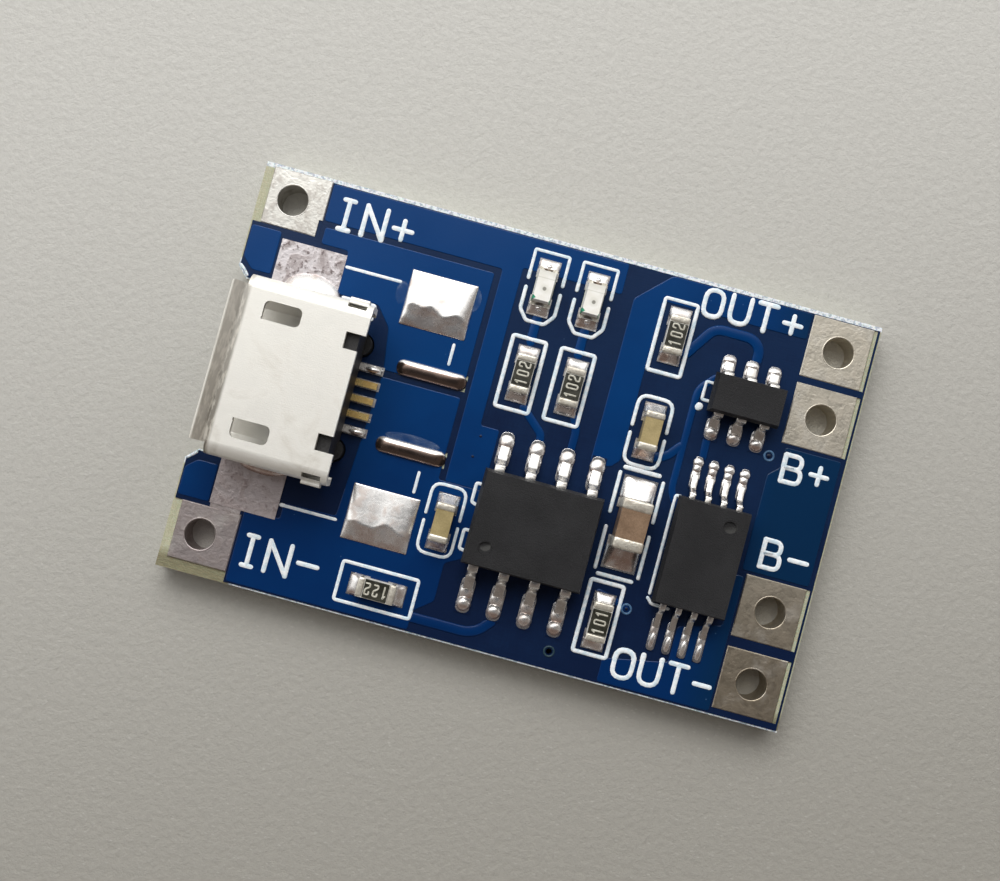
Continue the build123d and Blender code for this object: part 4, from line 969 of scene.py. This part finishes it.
def spareDomes():  # the two large lands carry a thick uneven skin of tin
    work, look = bmesh.new(), spareLook
    for low, high in separateBoxes("spare_lands"):
        size, middle = high - low, (low + high) / 2
        dome = bmesh.new()
        bmesh.ops.create_grid(dome, x_segments=look["steps"], y_segments=look["steps"], size=0.5)
        for vert in dome.verts:
            u, v = vert.co.x * 2, vert.co.y * 2
            lumps = noise.noise(Vector((u * look["lumpScale"], v * look["lumpScale"], middle.y)))
            ridge = look["ridge"] + look["ridgeSway"] * noise.noise(Vector((u * 2.6, 0.0, middle.y * 2)))
            slope = (1 - v) / (1 - ridge) if v > ridge else (1 + v) / (1 + ridge)
            swell = (1 - u ** 10) * min(slope, 1.0) ** 0.9
            rough = (1.0 if v < ridge else look["calm"]) + look["crumple"] * max(0.0, -u - 0.5)
            vert.co.z = look["edge"] + (look["crown"] - look["edge"] - look["lump"]) * swell
            vert.co.z += look["lump"] * lumps * rough * min(1.0, swell * 3)
        dome.transform(Matrix.Translation((middle.x, middle.y, low.z)) @ Matrix.Diagonal((size.x, size.y, 1, 1)))
        skirt = bmesh.ops.extrude_edge_only(dome, edges=[e for e in dome.edges if e.is_boundary])
        for vert in newVerts(skirt):
            vert.co.z = low.z
        bmesh.ops.contextual_create(dome, geom=[e for e in skirt["geom"] if isinstance(e, bmesh.types.BMEdge)])
        takeIn(work, dome)
    settle("spare_land_domes", work, finishes["solder"], "spare_lands")


stripLook = {
    "flat": 0.3, "lump": 0.02, "cuts": 15, "roundFrom": 0.8, "endNarrow": 0.9, "endLow": 0.85,
    # bright is a painted highlight, crown painted shade, low a painted reflection
    "bright": tone(244, 240, 236), "crown": tone(112, 96, 88), "low": tone(190, 164, 150),
    "crownFacing": (0.42, 0.22), "lowFacing": (-0.45, -0.7),
}


def stripSolderPaintedLight():  # colour set by which way each face turns: a painted highlight along the flank towards +Y, painted shade along the crowns, a paler painted reflection on steep flanks towards -Y
    paint = Finish("smoked_solder", metal=0.9)
    cloud = paint.noise(1.3, 3.0, 0.5, 0.4)
    turn = paint.facing("Y") + (cloud - 0.5) * 0.2
    tint = paint.blend(paint.span(turn, *stripLook["crownFacing"]), stripLook["bright"], stripLook["crown"])
    tint = paint.blend(paint.span(turn, *stripLook["lowFacing"]), tint, stripLook["low"])
    paint.feed(colour=tint, rough=paint.vary(cloud, 0.18, 0.3))
    paint.bump(cloud, 0.006)
    return paint.material


def stripRidges():  # a long rounded ridge of solder on each strip, drawn out at its ends
    work, look = bmesh.new(), stripLook
    for low, high in separateBoxes("solder_strips"):
        ridge = bmesh.new()
        bmesh.ops.create_cube(ridge, size=2.0)
        bmesh.ops.subdivide_edges(ridge, edges=ridge.edges[:], cuts=look["cuts"], use_grid_fill=True)
        middle, half = (low + high) / 2, (high - low) / 2
        for vert in ridge.verts:
            along, across = (math.sin(share * math.pi / 2) for share in vert.co.xy)  # closer towards the edges
            end = max(abs(along) - look["roundFrom"], 0.0) / (1 - look["roundFrom"])
            narrow = (1 - look["endNarrow"] * end ** 2) ** 0.5
            hump = look["flat"] + (1 - look["flat"]) * abs(1 - across ** 2) ** 0.5
            lump = 1 + look["lump"] * noise.noise(Vector((along, across, middle.y)) * 3)
            tall = half.z * hump * (1 - look["endLow"] * along ** 8) * lump
            spot = middle + Vector((along, across * narrow, 0)) * half
            vert.co = (spot.x, spot.y, low.z + (vert.co.z + 1) * tall)
        takeIn(work, ridge)
    settle("strip_ridges", work, stripSolderPaintedLight(), "solder_strips")


filmLook = {  # each film: middle, half lengths, height
    "tint": tone(186, 206, 232), "alpha": (0.03, 0.15), "level": 1.335, "sunk": 0.4,
    "films": [(-4.3, -0.98, 1.25, 0.26, 0.07), (-3.45, 5.2, 0.42, 0.62, 0.03), (-6.3, 4.75, 0.30, 0.55, 0.03)],
}


def fluxFilms():  # clear resin left round the hand-made joints
    paint = Finish("flux_film", rough=0.08, colour=filmLook["tint"], ior=1.5)
    cloud = paint.noise(1.8, 3.0)
    paint.feed(alpha=paint.span(cloud, 0.35, 0.7, *filmLook["alpha"]))
    paint.bump(cloud, 0.03)
    work = bmesh.new()
    for x, y, halfX, halfY, tall in filmLook["films"]:
        droplet(work, (x, y, filmLook["level"]), halfX, halfY, tall, filmLook["sunk"])
    settle("flux_films", work, paint.material)


viaLook = {
    "low": 1.30, "high": 1.352, "open": (3.25, -7.73), "covered": [(5.83, -5.27), (9.83, 2.23)],
    "hidden": [(-1.68, -0.07), (-1.78, -0.95)],
    "tones": {"open_via_ring": tone(44, 70, 78), "via_rims": tone(84, 122, 160), "via_dips": tone(4, 14, 40)},
    "lacquer": {"cloud": (6.0, 3.0), "spread": (0.3, 0.7, 0.0, 0.35), "second": maskLook["navy"],
                "rough": (0.3, 0.45), "coat": (0.2, 0.4), "relief": 0.01},
}


def coveredVias():  # the lacquer dips into the covered holes
    covered, hidden = viaLook["covered"], viaLook["hidden"]
    strokes = {
        "open_via_ring": [(0.08, circlePath(*viaLook["open"], 0.2), True)],
        "via_rims": [(0.09, circlePath(x, y, 0.19), True) for x, y in covered],
        "via_dips": [(0.17, [(x - 0.01, y), (x + 0.01, y)], False) for x, y in covered + hidden],
    }
    for name, first in viaLook["tones"].items():
        look = {**viaLook["lacquer"], "first": first}
        finish = cloudedFinish(name + "_lacquer", look, coatRough=0.08, specular=0.2)
        keep(name, strokeMesh(name, strokes[name], viaLook["low"], viaLook["high"]), finish)


patchLook = {"corner": (-10.33, -10.17, 6.01, 6.71), "low": 1.285, "high": 1.325, "edge": 0.008}


def lacquerPatch():  # lacquer fills the step in the plus land's corner
    outline = boxPath(*patchLook["corner"])
    shape = plateMesh("lacquer_patch", [outline], patchLook["low"], patchLook["high"], patchLook["edge"])
    keep("lacquer_patch", shape, finishes["solder_mask"])


burrLook = {"low": 1.20, "high": 1.35, "strokes": [
    (0.15, [(-12.90, 4.13), (-12.72, 3.98), (-12.56, 3.79)], False),
    (0.13, [(-12.90, -3.98), (-12.74, -3.84), (-12.58, -3.68)], False)]}


def millingBurrs():  # pale fibres stand along the milled corners of the recess
    shape = strokeMesh("milling_burrs", burrLook["strokes"], burrLook["low"], burrLook["high"])
    keep("milling_burrs", shape, finishes["laminate"])


solderDrops()
roundedRims()
formedLeads()
tinnedLands()
socketJoints()
lacquerPatch()
plumpEnds()
spareDomes()
stripRidges()
fluxFilms()
coveredVias()
millingBurrs()
print("leads, solder and end caps made")

numbers = {
    "height": 0.52, "digit": 0.24, "gap": 0.10, "stroke": 0.074, "sink": 0.006, "rise": 0.012,
    "marked": {
        "charging_light_resistor": ("102", 90), "full_light_resistor": ("102", 90), "supply_resistor": ("102", 90),
        "sense_resistor": ("101", 90), "programming_resistor": ("122", 180),
    },
}


def resistorNumbers():
    finish = cloudedFinish("mark_ink", numberInk, ior=1.5)
    step, half = numbers["digit"] + numbers["gap"], numbers["height"] / 2
    for part, (word, turn) in numbers["marked"].items():
        low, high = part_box(part + "_coat")
        middle, top = (low + high) / 2, high.z / mm
        strokes = []
        for i, letter in enumerate(word):
            left = i * step - (len(word) * step - numbers["gap"]) / 2
            strokes += letterStrokes(letter, left, left + numbers["digit"], -half, half, numbers["stroke"])
        mesh = strokeMesh(part + "_number", strokes, top - numbers["sink"], top + numbers["rise"], 1)
        mesh.transform(Matrix.Translation((middle.x, middle.y, 0)) @ Matrix.Rotation(math.radians(turn), 4, "Z"))
        keep(part + "_number", mesh, finish)


resistorNumbers()
print("resistor numbers made")

floorLook = {"size": 0.9, "pale": tone(207, 206, 201), "deep": tone(160, 157, 149), "grain": tone(112, 112, 112),
             "fibre": tone(236, 236, 234), "fall": (-24.0, 26.0)}


def plainFloor():  # painted light: paler towards the window, deeper away from it
    paint = Finish("floor_sheet", rough=0.75)
    grain = paint.noise(3.2, 4.0, 0.7)
    fine = paint.noise(9.0, 3.0)
    slope = paint.span(paint.axis("X") * 0.4 - paint.axis("Y") * 0.92, *floorLook["fall"])
    tint = paint.blend(slope, floorLook["pale"], floorLook["deep"])
    tint = paint.blend(paint.vary(grain * 0.6 + fine * 0.4, 0.0, 0.14), tint, floorLook["grain"])
    fibres = paint.span(paint.cells(3.6, stretch=(0.6, 1.5, 1)), 0.08, 0.2, 0.12, 0.0)
    paint.feed(colour=paint.blend(fibres, tint, floorLook["fibre"]))
    paint.bump(grain, 0.05)
    work = bmesh.new()
    bmesh.ops.create_grid(work, x_segments=1, y_segments=1, size=floorLook["size"] / 2)
    floor = placed("floor", meshOf("floor", work))
    floor.data.materials.append(paint.material)


studio = {
    "windowPlace": (-0.045, 0.125, 0.135), "windowSize": (0.15, 0.10), "windowPower": 0.19,
    "windowTone": (1.0, 0.99, 0.97), "towards": (-0.42, 0.9, 0.0), "from": 0.10, "to": 0.36,
    "bright": (1.5, 1.5, 1.48, 1.0), "dim": (0.17, 0.145, 0.13, 1.0), "above": (0.045, 0.045, 0.05, 1.0),
    "horizon": (0.95, 0.95, 0.94, 1.0), "darkHorizon": (0.30, 0.28, 0.26, 1.0),
    "aboveFrom": (0.84, 0.97), "northFrom": (-0.1, 0.4), "overheadFrom": (0.12, 0.42),
}


def softLight():  # a window, and a room that is bright on one side
    lamp = bpy.data.lights.new("window", "AREA")
    lamp.shape = "RECTANGLE"
    lamp.size, lamp.size_y = studio["windowSize"]
    lamp.energy, lamp.color = studio["windowPower"], studio["windowTone"]
    window = placed("window", lamp)
    window.location = studio["windowPlace"]
    window.rotation_euler = (-Vector(studio["windowPlace"])).to_track_quat("-Z", "Y").to_euler()
    world = bpy.data.worlds.new("room")
    bpy.context.scene.world = world
    world.use_nodes = True
    room = Shading(world.node_tree)
    where = room.node("ShaderNodeTexCoord", output="Generated")
    towards = room.node("ShaderNodeVectorMath", {"operation": "DOT_PRODUCT"}, {0: where, 1: studio["towards"]}, "Value")
    height, north = room.part(where, "Z"), room.part(where, "Y")
    shaded = room.blend(room.span(height, *studio["aboveFrom"]), studio["dim"], studio["above"])
    overhead = room.blend(room.span(towards, studio["from"], studio["to"]), shaded, studio["bright"])
    low = room.blend(room.span(north, *studio["northFrom"]), studio["darkHorizon"], studio["horizon"])
    sky = room.blend(room.span(height, *studio["overheadFrom"]), low, overhead)
    back = room.node("ShaderNodeBackground", None, {"Color": sky})
    out = room.tree.nodes.new("ShaderNodeOutputWorld")
    room.tree.links.new(back.socket, out.inputs[0])


camera = {
    "place": (-1.004, -1.399, 47.937), "lens": 41.4, "sensor": 36.0, "nearest": 0.001, "farthest": 10.0,
    "right": (0.96511, 0.26166, 0.01025), "down": (0.26184, -0.96471, -0.02771),
    "forward": (0.00264, 0.02943, -0.99956),
}


def photoCamera():
    data = bpy.data.cameras.new("camera")
    data.sensor_fit = "HORIZONTAL"
    data.sensor_width, data.lens = camera["sensor"], camera["lens"]
    data.clip_start, data.clip_end = camera["nearest"], camera["farthest"]
    eye = placed("camera", data)
    turn = Matrix((Vector(camera["right"]), -Vector(camera["down"]), -Vector(camera["forward"]))).transposed().to_4x4()
    eye.matrix_world = Matrix.Translation(Vector(camera["place"]) * mm) @ turn
    bpy.context.scene.camera = eye


plainFloor()
softLight()
photoCamera()
bpy.context.scene.view_settings.view_transform = "Standard"
print("floor, light and camera set")

bpy.context.view_layer.update()
